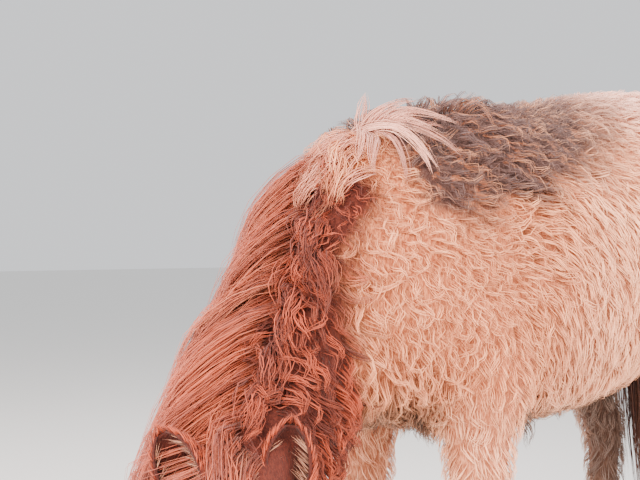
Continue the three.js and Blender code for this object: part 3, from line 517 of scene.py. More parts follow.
ear_points, ear_faces, ear_uv_corner = [], [], []
rows, cols = np.meshgrid(np.linspace(0, 1, EAR_ROWS), np.linspace(-1, 1, EAR_COLUMNS), indexing="ij")
for side, word in SIDES:
    base = len(skin_points) + sum(len(p) for p in ear_points)
    sheets = [ear_point(side, rows, cols, wall + 0 * rows).reshape(-1, 3) for wall in (1, 0)]
    ear_points.append(np.concatenate(sheets))
    loops = []
    for i in range(EAR_ROWS - 1):
        for j in range(EAR_COLUMNS - 1):
            loops.append([(0, i, j), (0, i, j + 1), (0, i + 1, j + 1), (0, i + 1, j)])
            loops.append([(1, i, j), (1, i + 1, j), (1, i + 1, j + 1), (1, i, j + 1)])
        for j, turn in ((0, 1), (EAR_COLUMNS - 1, -1)):
            loops.append([(0, i, j), (0, i + 1, j), (1, i + 1, j), (1, i, j)][::turn])
    for j in range(EAR_COLUMNS - 1):
        for i, turn in ((0, -1), (EAR_ROWS - 1, 1)):
            loops.append([(0, i, j), (0, i, j + 1), (1, i, j + 1), (1, i, j)][::turn])
    layer, i, j = np.array(loops)[:, ::side].reshape(-1, 3).T
    ear_faces += (base + layer * EAR_SHEET + i * EAR_COLUMNS + j).reshape(-1, 4).tolist()
    ear_uv_corner.append(ear_chart(word, i / (EAR_ROWS - 1), 2 * j / (EAR_COLUMNS - 1) - 1, layer))


# Colours of the coat
# Chestnut head and neck, cream body and legs, a smoky grey-brown cloth over the withers, hind legs greyed
# partly by dirt and partly by painted shade, and a dirty belly.
# There is painted light as well: a paler, pinker top of the back as painted skylight, and painted shade in
# the gaps between the shoulder curls and deep in the coat towards the roots.
# The skin and each hair take their colour from the same places on the pony.
def node_group(name, inputs, outputs):
    """A group of nodes with named inputs and outputs, and its two ends."""
    group = bpy.data.node_groups.new(name, "ShaderNodeTree")
    for label, kind in inputs:
        group.interface.new_socket(label, in_out="INPUT", socket_type="NodeSocket" + kind)
    for label, kind in outputs:
        group.interface.new_socket(label, in_out="OUTPUT", socket_type="NodeSocket" + kind)
    return group, group.nodes.new("NodeGroupInput"), group.nodes.new("NodeGroupOutput")


class Wiring:
    """Short words for putting nodes into a tree."""

    def __init__(self, tree):
        self.tree = tree

    def feed(self, socket, value):
        """A node's output is linked to the socket; a plain value is set on it."""
        if isinstance(value, bpy.types.NodeSocket):
            self.tree.links.new(value, socket)
        else:
            socket.default_value = value

    def maths(self, operation, *values):
        node = self.tree.nodes.new("ShaderNodeMath")
        node.operation = operation
        for socket, value in zip(node.inputs, values):
            self.feed(socket, value)
        return node.outputs[0]

    def times(self, a, b):
        return self.maths("MULTIPLY", a, b)

    def times_plus(self, a, b, c):
        return self.maths("MULTIPLY_ADD", a, b, c)

    def ramp(self, value, low, high, start=0.0, end=1.0):
        """From start to end while the value goes from low to high, with soft ends."""
        node = self.tree.nodes.new("ShaderNodeMapRange")
        node.interpolation_type = "SMOOTHSTEP"
        items = {"Value": value, "From Min": low, "From Max": high, "To Min": start, "To Max": end}
        for label, item in items.items():
            self.feed(node.inputs[label], item)
        return node.outputs[0]

    def noise(self, place, scale, detail=2.0):
        node = self.tree.nodes.new("ShaderNodeTexNoise")
        self.feed(node.inputs["Vector"], place)
        node.inputs["Scale"].default_value = scale
        node.inputs["Detail"].default_value = detail
        return node.outputs["Fac"]

    def mix(self, share, a, b, kind="MIX"):
        node = self.tree.nodes.new("ShaderNodeMix")
        node.data_type = "RGBA"
        node.blend_type = kind
        self.feed(node.inputs["Factor"], share)
        self.feed(node.inputs[6], a)
        self.feed(node.inputs[7], b)
        return node.outputs[2]

    def tinted(self, share, paint, red, green, blue):
        """The paint, darkened by a tint as far as the share says."""
        return self.mix(share, paint, self.mix(1.0, paint, (red, green, blue, 1.0), "MULTIPLY"))

    def read(self, name, what="Fac"):
        node = self.tree.nodes.new("ShaderNodeAttribute")
        node.attribute_name = name
        return node.outputs[what]


def colour(red, green, blue):
    """A paint colour given as it looks, 0 to 255."""
    shares = [c / 255 for c in (red, green, blue)]
    return (*(c / 12.92 if c <= 0.04045 else ((c + 0.055) / 1.055) ** 2.4 for c in shares), 1.0)


CREAM = colour(255, 192, 154)
CHESTNUT = colour(174, 76, 47)
CHESTNUT_SHADE = colour(86, 33, 22)
SMOKE = colour(80, 64, 68)
DIRT = colour(88, 62, 48)
HIND_GREY_AND_SHADE = colour(98, 90, 86)
PAINTED_SKYLIGHT_PINK = colour(255, 204, 186)
BARE = colour(44, 30, 28)
LEG_CREAM = colour(255, 194, 158)

markings, come, go = node_group(
    "pony_markings",
    (("Place", "Vector"), ("Shade", "Float"), ("Along", "Float"), ("Stain", "Float"), ("Bare", "Float")),
    (("Colour", "Color"),),
)
w = Wiring(markings)
place, shade, along, stain, bare = come.outputs[:5]
split = markings.nodes.new("ShaderNodeSeparateXYZ")
w.feed(split.inputs[0], place)
x, y, z = split.outputs
wander = w.maths("SUBTRACT", w.noise(place, 14.0), 0.5)
fine = w.noise(place, 62.0, 3.0)
# The chestnut ends along the line where the neck meets the shoulder
height_off = w.maths("MAXIMUM", w.maths("SUBTRACT", z, 0.64), -0.12)
edge = w.times_plus(w.times(height_off, height_off), 3.2, -0.555)
before = w.maths("SUBTRACT", w.maths("MINIMUM", edge, -0.485), x)
chestnut = w.ramp(w.times_plus(wander, 0.07, before), -0.018, 0.022)
# The smoky cloth lies above a curved line from the withers to the middle of the back
from_front = w.maths("ADD", x, 0.335)
smoke_line = w.times_plus(w.times(from_front, from_front), 0.47, 0.789)
smoke_line = w.times_plus(from_front, 0.148, smoke_line)
smoke = w.ramp(w.times_plus(wander, 0.10, w.maths("SUBTRACT", z, smoke_line)), -0.030, 0.020)
rear_end = w.ramp(w.times_plus(wander, 0.5, x), 0.24, -0.12, 0.15, 1.0)
smoke = w.times(smoke, w.times(w.ramp(x, -0.47, -0.43), rear_end))
smoke = w.times(smoke, w.ramp(fine, 0.64, 0.52, 0.42, 1.0))
body = w.mix(w.ramp(z, 0.46, 0.36), CREAM, LEG_CREAM)
# Painted skylight: the top of the back and rump is painted paler and pinker, as the cool light falling on
# it from above
body = w.mix(w.times(w.ramp(z, 0.82, 0.97), w.ramp(x, -0.10, 0.20)), body, PAINTED_SKYLIGHT_PINK)
# On the shoulder the curls are a little browner, with painted shade in the gaps between them
shoulder = w.times(w.ramp(x, -0.10, -0.26), w.ramp(z, 0.46, 0.56))
body = w.tinted(shoulder, body, 0.96, 0.84, 0.72)
painted_gap_shade = w.times(shoulder, w.ramp(w.noise(place, 150.0), 0.46, 0.62, 0.0, 0.7))
body = w.tinted(painted_gap_shade, body, 0.64, 0.50, 0.42)
# The hind legs are greyed, partly by dirt and partly by painted shade, most on their inner sides
hind_dirt_and_shade = w.times(w.ramp(x, 0.20, 0.36), w.ramp(z, 0.66, 0.50))
hind_dirt_and_shade = w.times(hind_dirt_and_shade, w.ramp(w.maths("ABSOLUTE", y), 0.155, 0.115, 0.45, 1.0))
body = w.mix(w.times(hind_dirt_and_shade, 0.9), body, HIND_GREY_AND_SHADE)
body = w.mix(w.times(smoke, 0.95), body, SMOKE)
dirt = w.times(stain, w.ramp(along, 0.0, 0.55, 0.35, 1.0))
body = w.mix(w.times(dirt, 0.9), body, DIRT)
body = w.tinted(w.ramp(shade, 0.2, 0.95, 0.0, 0.85), body, 0.70, 0.56, 0.47)
red = w.mix(w.ramp(shade, 0.10, 0.66), CHESTNUT, CHESTNUT_SHADE)
coat = w.mix(chestnut, body, red)
# Painted shade deep in the coat: each hair is darker towards its root, and the skin, whose points all count
# as roots, darker still
coat = w.tinted(w.ramp(along, 0.70, 0.0, 0.0, 0.85), coat, 0.58, 0.45, 0.38)
w.feed(go.inputs["Colour"], w.mix(bare, coat, BARE))


def finish(name, **settings):
    """A new material with its fixed settings: the material, its wiring and its shader."""
    material = bpy.data.materials.new(name)
    material.use_nodes = True
    shader = material.node_tree.nodes["Principled BSDF"]
    for label, value in settings.items():
        shader.inputs[label.replace("_", " ")].default_value = value
    return material, Wiring(material.node_tree), shader


def relief(w, shader, height, strength, depth):
    """Fine ridges, too small to model, in a finish."""
    bump = w.tree.nodes.new("ShaderNodeBump")
    bump.inputs["Strength"].default_value = strength
    bump.inputs["Distance"].default_value = depth
    w.feed(bump.inputs["Height"], height)
    w.feed(shader.inputs["Normal"], bump.outputs[0])


def coat_finish(name, rough):
    """The pony's markings as a finish, with the paint before anything else is done to it."""
    material, w, shader = finish(
        name, Roughness=rough, Specular_IOR_Level=0.25, Sheen_Weight=0.05, Sheen_Roughness=0.5)
    group = w.tree.nodes.new("ShaderNodeGroup")
    group.node_tree = markings
    w.feed(group.inputs["Place"], w.read("root", "Vector"))
    for label in ("Shade", "Along", "Stain", "Bare"):
        w.feed(group.inputs[label], w.read(label.lower()))
    w.feed(shader.inputs["Base Color"], group.outputs["Colour"])
    return material, w, shader, group.outputs["Colour"]


coat_fur = coat_finish("coat_fur", 0.62)[0]
skin_fur, w, shader, paint = coat_finish("skin_fur", 0.8)
comb = w.tree.nodes.new("ShaderNodeMapping")
comb.inputs["Scale"].default_value = (1.0, 1.0, 0.22)
w.feed(comb.inputs["Vector"], w.read("root", "Vector"))
streaks = w.noise(comb.outputs[0], 420.0, 3.0)
relief(w, shader, streaks, 0.7, 0.004)
w.feed(shader.inputs["Base Color"], w.tinted(w.ramp(streaks, 0.62, 0.40), paint, 0.62, 0.48, 0.42))


# Skin
# The whole hide in one piece, from muzzle to dock and down to the hooves, with the ears on it.
# It is soft and covered with dense underfur, and bare only at lids, nostrils and lips, where its own colour
# is dark. Under the hair it is painted darker, as the shade deep in the coat, and darkest inside the ears,
# as painted shade in their cups.
def place_piece(name, mesh, material, values):
    """Puts a finished mesh on the pony, with its finish and the values kept at its points."""
    for label, items in values.items():
        items = np.asarray(items, np.float32)
        kind, key = ("FLOAT_VECTOR", "vector") if items.ndim == 2 else ("FLOAT", "value")
        mesh.attributes.new(label, kind, "POINT").data.foreach_set(key, items.ravel())
    mesh.materials.append(material)
    piece = bpy.data.objects.new(name, mesh)
    bpy.context.collection.objects.link(piece)
    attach(piece, "root")
    return piece


def unwrap(mesh, uv):
    """Each corner's place in the piece's unwrap."""
    mesh.uv_layers.new(name="OFBake").uv.foreach_set("vector", np.asarray(uv, np.float32).ravel())


def smooth_mesh(name, points, faces):
    """A mesh where the pony stands, with a smooth look."""
    mesh = bpy.data.meshes.new(name)
    mesh.from_pydata((points + SHIFT).tolist(), [], faces)
    mesh.shade_smooth()
    return mesh


def bare_skin(p):
    """Where the skin shows without hair: round the eyes, in the nostrils and along the lips."""
    out = np.zeros(len(p))
    for middle, gaze, corner, upright in eyes.values():
        q = p - middle
        almond = np.hypot(q @ corner / OPENING[0], q @ upright / OPENING[1])
        near = (np.linalg.norm(q, axis=1) < 0.03) & (q @ gaze > 0)
        out = np.maximum(out, np.where(near, np.clip((1.35 - almond) / 0.2, 0, 1), 0))
    for side, word in SIDES:
        out = np.maximum(out, np.clip(1 - outside_nostril(p, side) / 0.003, 0, 1))
    q = p - POLL
    mouth = (np.abs(q @ FOREHEAD + MOUTH_LINE) < 0.0055) & (q @ ALONG > 0.33)
    out = np.maximum(out, np.where(mouth & (outside_head(p) < 0.01), 0.8, 0))
    velvet = np.clip((q @ ALONG - 0.345) / 0.04, 0, 1) * (outside_head(p) < 0.01)
    return np.maximum(out, 0.45 * velvet)


all_points = np.concatenate([skin_points] + ear_points)
# The insides of the ears get the darkest shade value, as painted shade in their cups
inside_ears = np.zeros(len(all_points), bool)
for k in (1, 3):
    inside_ears[len(skin_points) + k * EAR_SHEET:][:EAR_SHEET] = True
bare = bare_skin(all_points)
skin_mesh = smooth_mesh("skin", all_points, skin_faces + ear_faces)
unwrap(skin_mesh, np.concatenate([skin_uv] + ear_uv_corner))
# The skin is painted darker as the shade under the hair: every point counts as a root with a middling shade
# value
skin = place_piece("skin", skin_mesh, skin_fur, {
    "root": all_points, "shade": np.where(inside_ears, 1.0, 0.55), "along": 0 * bare, "bare": bare,
})
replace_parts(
    skin, "torso", "head", "neck", "foreleg_left", "foreleg_right", "hindleg_left", "hindleg_right",
    "ear_left", "ear_right",
)


# Coat
# Thick winter fur: each lock is a bunch of soft hairs with its roots spread over a finger's width of
# skin and its tips together. Tight curls on neck and chest, wavy locks on the barrel, short on the face.
# Every hair is a thin closed taper that grows out of the skin.
rng = np.random.default_rng(7)


def unit(v):
    """The same ways, each one long."""
    return v / np.maximum(np.linalg.norm(v, axis=-1, keepdims=True), 1e-9)


def smooth(low, high, v):
    """0 at low and 1 at high, with soft ends."""
    t = np.clip((v - low) / (high - low), 0, 1)
    return t * t * (3 - 2 * t)


def strands(paths, outward, width, flat, thin=0.12):
    """Closed three-sided hairs along the paths: points and faces, widest a third of the way out."""
    count, length = paths.shape[:2]
    s = np.linspace(0, 1, length)[None, :, None]
    run = unit(np.gradient(paths, axis=1))
    wide = unit(np.cross(run, outward[:, None]))
    up = unit(np.cross(wide, run))
    shape = (0.75 + 0.5 * np.sin(np.pi * np.minimum(s * 1.5 + 0.1, 1.0))) * (1 - s ** 2.2) + thin * s
    w = width[:, None, None] * shape / 2
    body = np.stack((paths - wide * w, paths + up * w * flat * 2, paths + wide * w), 2)[:, :-1]
    points = np.concatenate((body.reshape(count, -1, 3), paths[:, -1:]), 1)
    faces = [(0, 1, 2)]
    for k in range(length - 2):
        for j in range(3):
            a, b = 3 * k + j, 3 * k + (j + 1) % 3
            faces += [(a, a + 3, b), (b, a + 3, b + 3)]
    last = 3 * (length - 2)
    faces += [(last + j, last + 3, last + (j + 1) % 3) for j in range(3)]
    per, pattern = points.shape[1], np.array(faces)
    every = pattern[None] + (per * np.arange(count))[:, None, None]
    return points.reshape(-1, 3), every.reshape(-1, 3), per, pattern


PATCH = 0.003
FLOOR_GAP = 0.003
MOST_TRIANGLES = 190000


def fur_piece(name, hairs, material, flat):
    """One piece of coat: the strands, each on its own patch of the unwrap, with its root's place."""
    paths = hairs["paths"]
    paths[..., 2] = np.maximum(paths[..., 2], FLOOR_GAP)
    count, length = paths.shape[:2]
    points, faces, per, pattern = strands(paths, hairs["outward"], hairs["width"], flat)
    along = np.minimum(np.arange(per) // 3, length - 1) / (length - 1)
    around = np.where(np.arange(per) == per - 1, 1, np.arange(per) % 3) / 2
    patch = np.stack((around, along), -1) * PATCH
    mesh = bpy.data.meshes.new(name)
    mesh.vertices.add(len(points))
    mesh.vertices.foreach_set("co", (points + SHIFT).astype(np.float32).ravel())
    mesh.loops.add(faces.size)
    mesh.loops.foreach_set("vertex_index", faces.astype(np.int32).ravel())
    mesh.polygons.add(len(faces))
    mesh.polygons.foreach_set("loop_start", np.arange(0, faces.size, 3, dtype=np.int32))
    mesh.update(calc_edges=True)
    mesh.shade_smooth()
    unwrap(mesh, hairs["uv"][:, None, None] + patch[pattern][None])
    values = {label: np.repeat(hairs[label], per, 0) for label in ("shade", "stain", "root")}
    return place_piece(name, mesh, material, {"along": np.tile(along, count), **values})


def fur_pieces(name, slot, material=coat_fur, flat=0.55, **hairs):
    """The hairs' paths, ways out, widths, unwrap, roots and shades, in pieces small enough to load."""
    hairs.setdefault("stain", np.zeros(len(hairs["root"])))
    order = np.argsort(hairs["root"][:, 0], kind="stable")
    parts = math.ceil(len(order) / (MOST_TRIANGLES // (6 * hairs["paths"].shape[1] - 8)))
    pieces = []
    for k, mine in enumerate(np.array_split(order, parts)):
        label = name if parts == 1 else f"{name}_{k + 1}"
        pieces.append(fur_piece(label, {key: v[mine] for key, v in hairs.items()}, material, flat))
    return pieces


def scatter(density):
    """Places strewn evenly over the skin, so many a square metre, with their way out and unwrap."""
    corners = []
    for k in range(1, int(face_size.max()) - 1):
        start = face_start[face_size > k + 1]
        corners.append(np.stack((start, start + k, start + k + 1), 1))
    corners = np.concatenate(corners)
    tri, tri_uv = corner_vertex[corners], skin_uv[corners]
    a, b, c = skin_points[tri].transpose(1, 0, 2)
    normal = np.cross(b - a, c - a)
    area = np.linalg.norm(normal, axis=1) / 2
    want = area * density[tri].mean(1)
    chosen = np.repeat(np.arange(len(tri)), (want + rng.random(len(tri))).astype(int))
    u, v = rng.random((2, len(chosen), 1))
    over = u + v > 1
    u, v = np.where(over, 1 - u, u), np.where(over, 1 - v, v)
    a, b, c = a[chosen], b[chosen], c[chosen]
    place = a + (b - a) * u + (c - a) * v
    uv = tri_uv[chosen, 0] * (1 - u - v) + tri_uv[chosen, 1] * u + tri_uv[chosen, 2] * v
    return place, unit(normal[chosen]), uv


def shares(p):
    """How much each point belongs to trunk, neck, head, legs and dock, and where it lies on each."""
    on = limbs_at(p)
    distance = np.stack([on[n][0] for n in regions])
    weight = np.exp(-(distance - distance.min(0)) / 0.020)
    weight /= weight.sum(0)
    part = dict(zip(regions, weight))
    part["leg"] = sum(part[n] for n in regions if "leg" in n)
    return part, on


# metres: length, lift off the skin, size of the curl or wave, and strands a square metre
FUR = {
    "trunk": (0.048, 0.016, 0.0020, 22500), "neck": (0.046, 0.022, 0.0070, 20500),
    "leg": (0.036, 0.012, 0.0026, 19500), "head": (0.014, 0.004, 0.0010, 44000),
    "dock": (0.040, 0.012, 0.0030, 8000),
}
DOWN = np.array((0, 0, -1.0))
BACK = np.array((1.0, 0, 0))


def near_ear(p, side, out, left, reach):
    """How near each point is to a place at the foot of an ear."""
    return np.exp(-((p - on_head(0.032, out, side * left)) ** 2).sum(1) / reach ** 2)


def fur_at(p, out):
    """Length, lift, curl, density and lie of the coat at each point of the skin."""
    part, on = shares(p)
    length, lift, curl, density = (sum(part[n] * row[k] for n, row in FUR.items()) for k in range(4))
    x, y, z = p.T
    chest = part["trunk"] * smooth(-0.24, -0.36, x) * smooth(0.92, 0.84, z)
    chest = np.maximum(chest, part["trunk"] * 0.6 * smooth(-0.16, -0.28, x) * smooth(0.72, 0.66, z))
    withers = part["trunk"] * smooth(0.80, 0.88, z) * smooth(0.16, -0.05, x)
    length = length - 0.022 * chest - 0.022 * withers
    lift = lift - 0.001 * chest - 0.005 * withers
    curl = curl + 0.0028 * chest + 0.0024 * withers
    density = density + 4500 * chest + 2000 * withers
    # Longer under the cheeks, short on the muzzle, long over the hooves and under the belly
    share, angle = on["head"][1:]
    cheek = part["head"] * smooth(0.55, 0.30, share) * smooth(0.6, -0.4, np.cos(angle))
    muzzle = part["head"] * smooth(0.70, 0.86, share)
    hoof_top = part["leg"] * smooth(0.16, 0.06, z)
    belly = part["trunk"] * smooth(-0.3, -0.9, out[:, 2])
    length = (length + 0.020 * cheek) * (1 - 0.55 * muzzle) + 0.012 * hoof_top + 0.028 * belly
    lift = (lift + 0.008 * cheek) * (1 - 0.6 * muzzle) + 0.010 * belly
    for side, word in SIDES:
        beside_ear = near_ear(p, side, -0.010, 0.052, 0.048)
        length = length * (1 - 0.72 * beside_ear)
        lift = lift * (1 - 0.85 * beside_ear)
        curl = curl * (1 - 0.80 * beside_ear)
    # The way the hair lies: down and back, swept back at the point of the shoulder, down the face and legs
    sweep = np.exp(-((x + 0.31) / 0.11) ** 2 - ((z - 0.75) / 0.10) ** 2)
    barrel = smooth(-0.42, -0.20, x)
    upper = smooth(0.72, 0.90, z)
    rump = smooth(0.15, 0.35, x)
    backward = 0.06 + 0.12 * barrel + 0.60 * barrel * upper + 1.4 * sweep - 0.35 * rump * (1 - upper)
    aside = np.sign(y)[:, None] * np.array((0, 1.0, 0))
    lie_trunk = DOWN * (1 - 0.85 * sweep)[:, None] + BACK * backward[:, None] + 0.35 * aside
    lie_neck = DOWN * 0.9 + BACK * 0.25 + 0.1 * aside
    lie = lie_trunk * (part["trunk"] + part["dock"])[:, None] + lie_neck * part["neck"][:, None]
    lie = lie + DOWN * part["leg"][:, None] + ALONG * part["head"][:, None]
    lie = lie - out * (lie * out).sum(1, keepdims=True)
    return length, lift, curl, density, unit(lie), part


skin_out = sample(flesh, skin_points)[1]
skin_density = fur_at(skin_points, skin_out)[3]
for middle, *directions in eyes.values():
    skin_density = skin_density * smooth(0.017, 0.024, np.linalg.norm(skin_points - middle, axis=1))
skin_density = skin_density * smooth(0.025, 0.045, skin_points[:, 2])
skin_density = skin_density * (1 - 0.4 * smooth(0.36, 0.40, (skin_points - POLL) @ ALONG))
skin_density = skin_density * (1 - smooth(0.45, 0.8, bare[:len(skin_points)]))
for side, word in SIDES:
    skin_density = skin_density * (1 - 0.92 * near_ear(skin_points, side, 0.006, 0.052, 0.034))
amount = 1.0


ROOT_DEPTH = 0.002


def grow(root, out, lie, length, lift, curl, turns, phase, bend, steps):
    """Fur paths over the skin: each follows the lie, lifts off, and coils around its own line."""
    line = root.copy()
    paths = [root - out * ROOT_DEPTH]
    for k in range(1, steps):
        s = k / (steps - 1)
        value, n = sample(flesh, line)
        turn = (bend * s)[:, None]
        run = unit(lie - n * (lie * n).sum(1, keepdims=True))
        side = np.cross(n, run)
        run_now = run * np.cos(turn) + side * np.sin(turn)
        line = line + run_now * (length / (steps - 1))[:, None]
        value, n = sample(flesh, line)
        line = line - n * value[:, None]
        angle = phase + turns * math.tau * s
        envelope = min(1.0, 1.6 * s)
        rise = lift * (1 - (1 - s) ** 2) * 1.15 - lift * 0.35 * s ** 4
        up = rise + curl * np.sin(angle) * envelope
        over = curl * np.cos(angle) * envelope
        paths.append(line + n * np.maximum(up, 0.001)[:, None] + side * over[:, None])
    return np.stack(paths, 1)


def ear_axis(side):
    """The line up the open side of an ear's cup: its foot and the way to its tip."""
    low, high = ear_point(side, np.array((0.25, 1.0)), np.zeros(2), np.ones(2))
    low, high = low + FOREHEAD * 0.012, high + FOREHEAD * 0.010
    return low, high - low


def hides_ear(paths, room=0.027):
    """Which hairs cross the open side of an ear, so that they can be left out."""
    hidden = np.zeros(len(paths), bool)
    for side, word in SIDES:
        low, axis = ear_axis(side)
        q = paths[:, 1:] - low
        t = (q @ axis) / axis.dot(axis)
        q = q - axis * np.clip(t, 0, 1)[..., None]
        ahead = q @ FOREHEAD
        before_cup = (np.abs(q @ NEAR_CHEEK) < room) & (ahead > -0.012) & (ahead < 0.13)
        hidden |= (before_cup & (t > 0) & (t < 1.15)).any(1)
    return hidden


def part_round_ears(p, room=0.044):
    """Long hair that would fall in front of an ear passes beside it."""
    for side, word in SIDES:
        low, axis = ear_axis(side)
        t = ((p - low) @ axis) / axis.dot(axis)
        q = p - low - axis * np.clip(t, 0, 1)[:, None]
        inward = q @ NEAR_CHEEK * -side
        in_front = (t > -0.5) & (t < 1.25) & (q @ FOREHEAD > -0.03) & (np.abs(inward) < room)
        aside = np.where(inward > -0.4 * room, room, -room) - inward
        p = p - NEAR_CHEEK * side * (aside * in_front)[:, None]
    return p


def tree_of(points):
    """The points sorted so that the nearest to a place is soon found."""
    tree = KDTree(len(points))
    for k, p in enumerate(points):
        tree.insert(p, k)
    tree.balance()
    return tree


def nearest(tree, places):
    """The number of the point nearest to each place."""
    return np.array([tree.find(p)[1] for p in places])


NEIGHBOURS = list(itertools.product((-1, 0, 1), repeat=3))
BUCKET = 0.03
CURLS_GATHER = 0.90


def bunch(root, out, spacing, gather, steps, seed):
    """The strands at these roots, gathered into locks whose middles lie so far apart."""
    own = np.random.default_rng(seed)
    keep, cells = [], {}
    for i in own.permutation(len(root)):
        p, gap = root[i], spacing[i]
        x, y, z = (int(v) for v in p / BUCKET)
        beside = (q for a, b, c in NEIGHBOURS for q in cells.get((x + a, y + b, z + c), ()))
        far = ((p[0] - q[0]) ** 2 + (p[1] - q[1]) ** 2 + (p[2] - q[2]) ** 2 for q in beside)
        if all(square >= gap * gap for square in far):
            cells.setdefault((x, y, z), []).append(tuple(p))
            keep.append(i)
    keep = np.array(keep)
    centre = root[keep]
    lock = nearest(tree_of(centre), root)
    length, lift, curl, density, lie, part = fur_at(centre, out[keep])
    n = len(keep)
    tight = np.clip(curl / 0.0085, 0, 1)
    phase = own.uniform(0, math.tau, n)
    turns = own.choice((-1, 1), n) * (0.65 + 0.40 * smooth(0.3, 0.5, tight)) * own.uniform(0.8, 1.2, n)
    bend = own.normal(0, 1, n) * (0.22 + 1.0 * tight) * smooth(0.010, 0.030, length)
    length = length * own.uniform(0.75, 1.2, n)
    lift = lift * own.uniform(0.75, 1.15, n)
    stray = (0.10 + 0.16 * tight) * smooth(0.010, 0.030, length)
    lie = unit(lie + own.normal(0, 1, (n, 3)) * stray[:, None])
    lock_paths = grow(centre, out[keep], lie, length, lift, curl, turns, phase, bend, steps)
    m = len(root)
    own_length, own_lift = length[lock] * own.uniform(0.82, 1.12, m), lift[lock] * own.uniform(0.8, 1.1, m)
    own_curl, own_phase = curl[lock] * own.uniform(0.7, 1.2, m), phase[lock] + own.normal(0, 0.35, m)
    paths = grow(
        root, out, lie[lock], own_length, own_lift, own_curl, turns[lock], own_phase, bend[lock], steps)
    s = np.linspace(0, 1, steps)[None, :, None]
    hold = gather * (0.8 + 0.2 * part["neck"])[lock][:, None, None] if gather == CURLS_GATHER else gather
    pull = hold * s ** 0.9
    middle = lock_paths[lock]
    spread = own.normal(0, 1, (m, 1, 3)) * 0.0022 * s
    paths = paths * (1 - pull) + (middle + spread) * pull
    shade = np.clip(own.beta(1.6, 2.2, n)[lock] * 0.75 + own.random(m) * 0.25, 0, 1)
    return paths, shade, length[lock]


root, out, uv = scatter(skin_density * amount)
part = shares(root)[0]
curly = fur_at(root, out)[2] > 0.0036
kind = np.where(part["head"] > 0.5, 3, np.where(part["leg"] > 0.5, 2, np.where(curly, 1, 0)))
belly_line = np.array(BACK_AND_BELLY)[:, (0, 2)] / 1000
over_belly = root[:, 2] - np.interp(root[:, 0], belly_line[:, 0], belly_line[:, 1])
under = (1 - part["leg"]) * smooth(0.20, 0.10, root[:, 0]) * smooth(0.040, 0.008, over_belly)
under = under * smooth(0.55, 0.52, root[:, 2])
stain = under * np.clip(rng.normal(0.85, 0.3, len(root)), 0, 1)
# name, points along a hair, how far the tips of a lock come together, and the room for each lock
COATS = (
    ("barrel", 4, 0.42, 0.0085), ("curls", 6, CURLS_GATHER, 0.0150),
    ("leg", 4, 0.60, 0.0120), ("face", 3, 0.20, 0.0070),
)
for code, (label, steps, gather, gap) in enumerate(COATS):
    mine = np.flatnonzero(kind == code)
    spacing = np.where((label == "curls") & (part["neck"] < 0.5), 0.0085, gap)
    paths, shade, length = bunch(root[mine], out[mine], spacing[mine], gather, steps, 20 + code)
    width = np.clip(length * 0.036, 0.0009, 0.0016) * rng.uniform(0.75, 1.2, len(length))
    kept = ~hides_ear(paths)
    mine = mine[kept]
    fur_pieces(
        "coat_" + label, "coat_cream", paths=paths[kept], outward=out[mine], width=width[kept], uv=uv[mine],
        root=root[mine], shade=shade[kept], stain=stain[mine])


# Mane
# Long soft hair rooted along the crest, from the withers to the poll, which falls to the pony's right.
# Each lock hangs from its root with its own weight, lies on the neck, and passes beside the ears.
def hair_colour(name, light, dark, streak, tip=None):
    """Hair between a light and a dark colour from lock to lock, streaked, darker at the root."""
    material, w, shader = finish(name, Roughness=0.5, Specular_IOR_Level=0.3, Sheen_Weight=0.06)
    along = w.read("along")
    body = w.mix(w.ramp(w.read("shade"), 0.2, 0.9), colour(*light), colour(*dark))
    patches = w.noise(w.read("root", "Vector"), 60.0)
    body = w.mix(w.ramp(patches, 0.45, 0.75, 0.0, 0.6), body, colour(*streak))
    body = w.tinted(w.ramp(along, 0.45, 0.0, 0.0, 0.5), body, 0.50, 0.42, 0.40)
    if tip:
        body = w.mix(w.ramp(along, 0.25, 0.85, 0.0, 0.65), body, colour(*tip))
    w.feed(shader.inputs["Base Color"], body)
    return material


# The mane's mauve tips are partly its own colour and partly a painted sheen
mane_hair = hair_colour("mane_hair", (170, 76, 46), (100, 44, 34), (200, 120, 90), (154, 94, 86))

own = np.random.default_rng(41)
WAVE_LENGTH = 0.13


def drawn(values, count):
    """Two limits give each hair a value of its own between them; a list of values stays as it is."""
    return own.uniform(*values, count) if isinstance(values, tuple) else values


def fall(root, heading, length, steps, stand, weight, wave, hug=0.0):
    """Long hair: it leaves its root along the heading, bends down with its weight, lies on the skin."""
    drawn_now = [drawn(v, len(root)) for v in (length, stand, weight, wave, (0, 6.28))]
    length, stand, weight, wave, phase = drawn_now
    p = root.copy()
    way = unit(heading)
    paths = [p.copy()]
    step = (length / (steps - 1))[:, None]
    for k in range(1, steps):
        s = k / (steps - 1)
        way = unit(way * (1 - weight[:, None]) + DOWN * weight[:, None])
        value, n = sample(flesh, p)
        toward = (way * n).sum(1)
        onto = (value < stand * 1.6) & (toward < 0)
        way = np.where(onto[:, None], unit(way - n * toward[:, None] * 0.9), way)
        p = p + way * step
        value, n = sample(flesh, p)
        want = stand * min(1.0, 2.2 * s)
        p = p + n * np.maximum(want - value, 0)[:, None]
        p = part_round_ears(p - n * (np.clip(value - want, 0, 0.05) * hug)[:, None])
        across = unit(np.cross(way, n))
        swing = wave * min(1.0, 2 * s) * np.sin(phase + s * math.tau * length / WAVE_LENGTH)
        paths.append(p + across * swing[:, None])
    return np.stack(paths, 1)


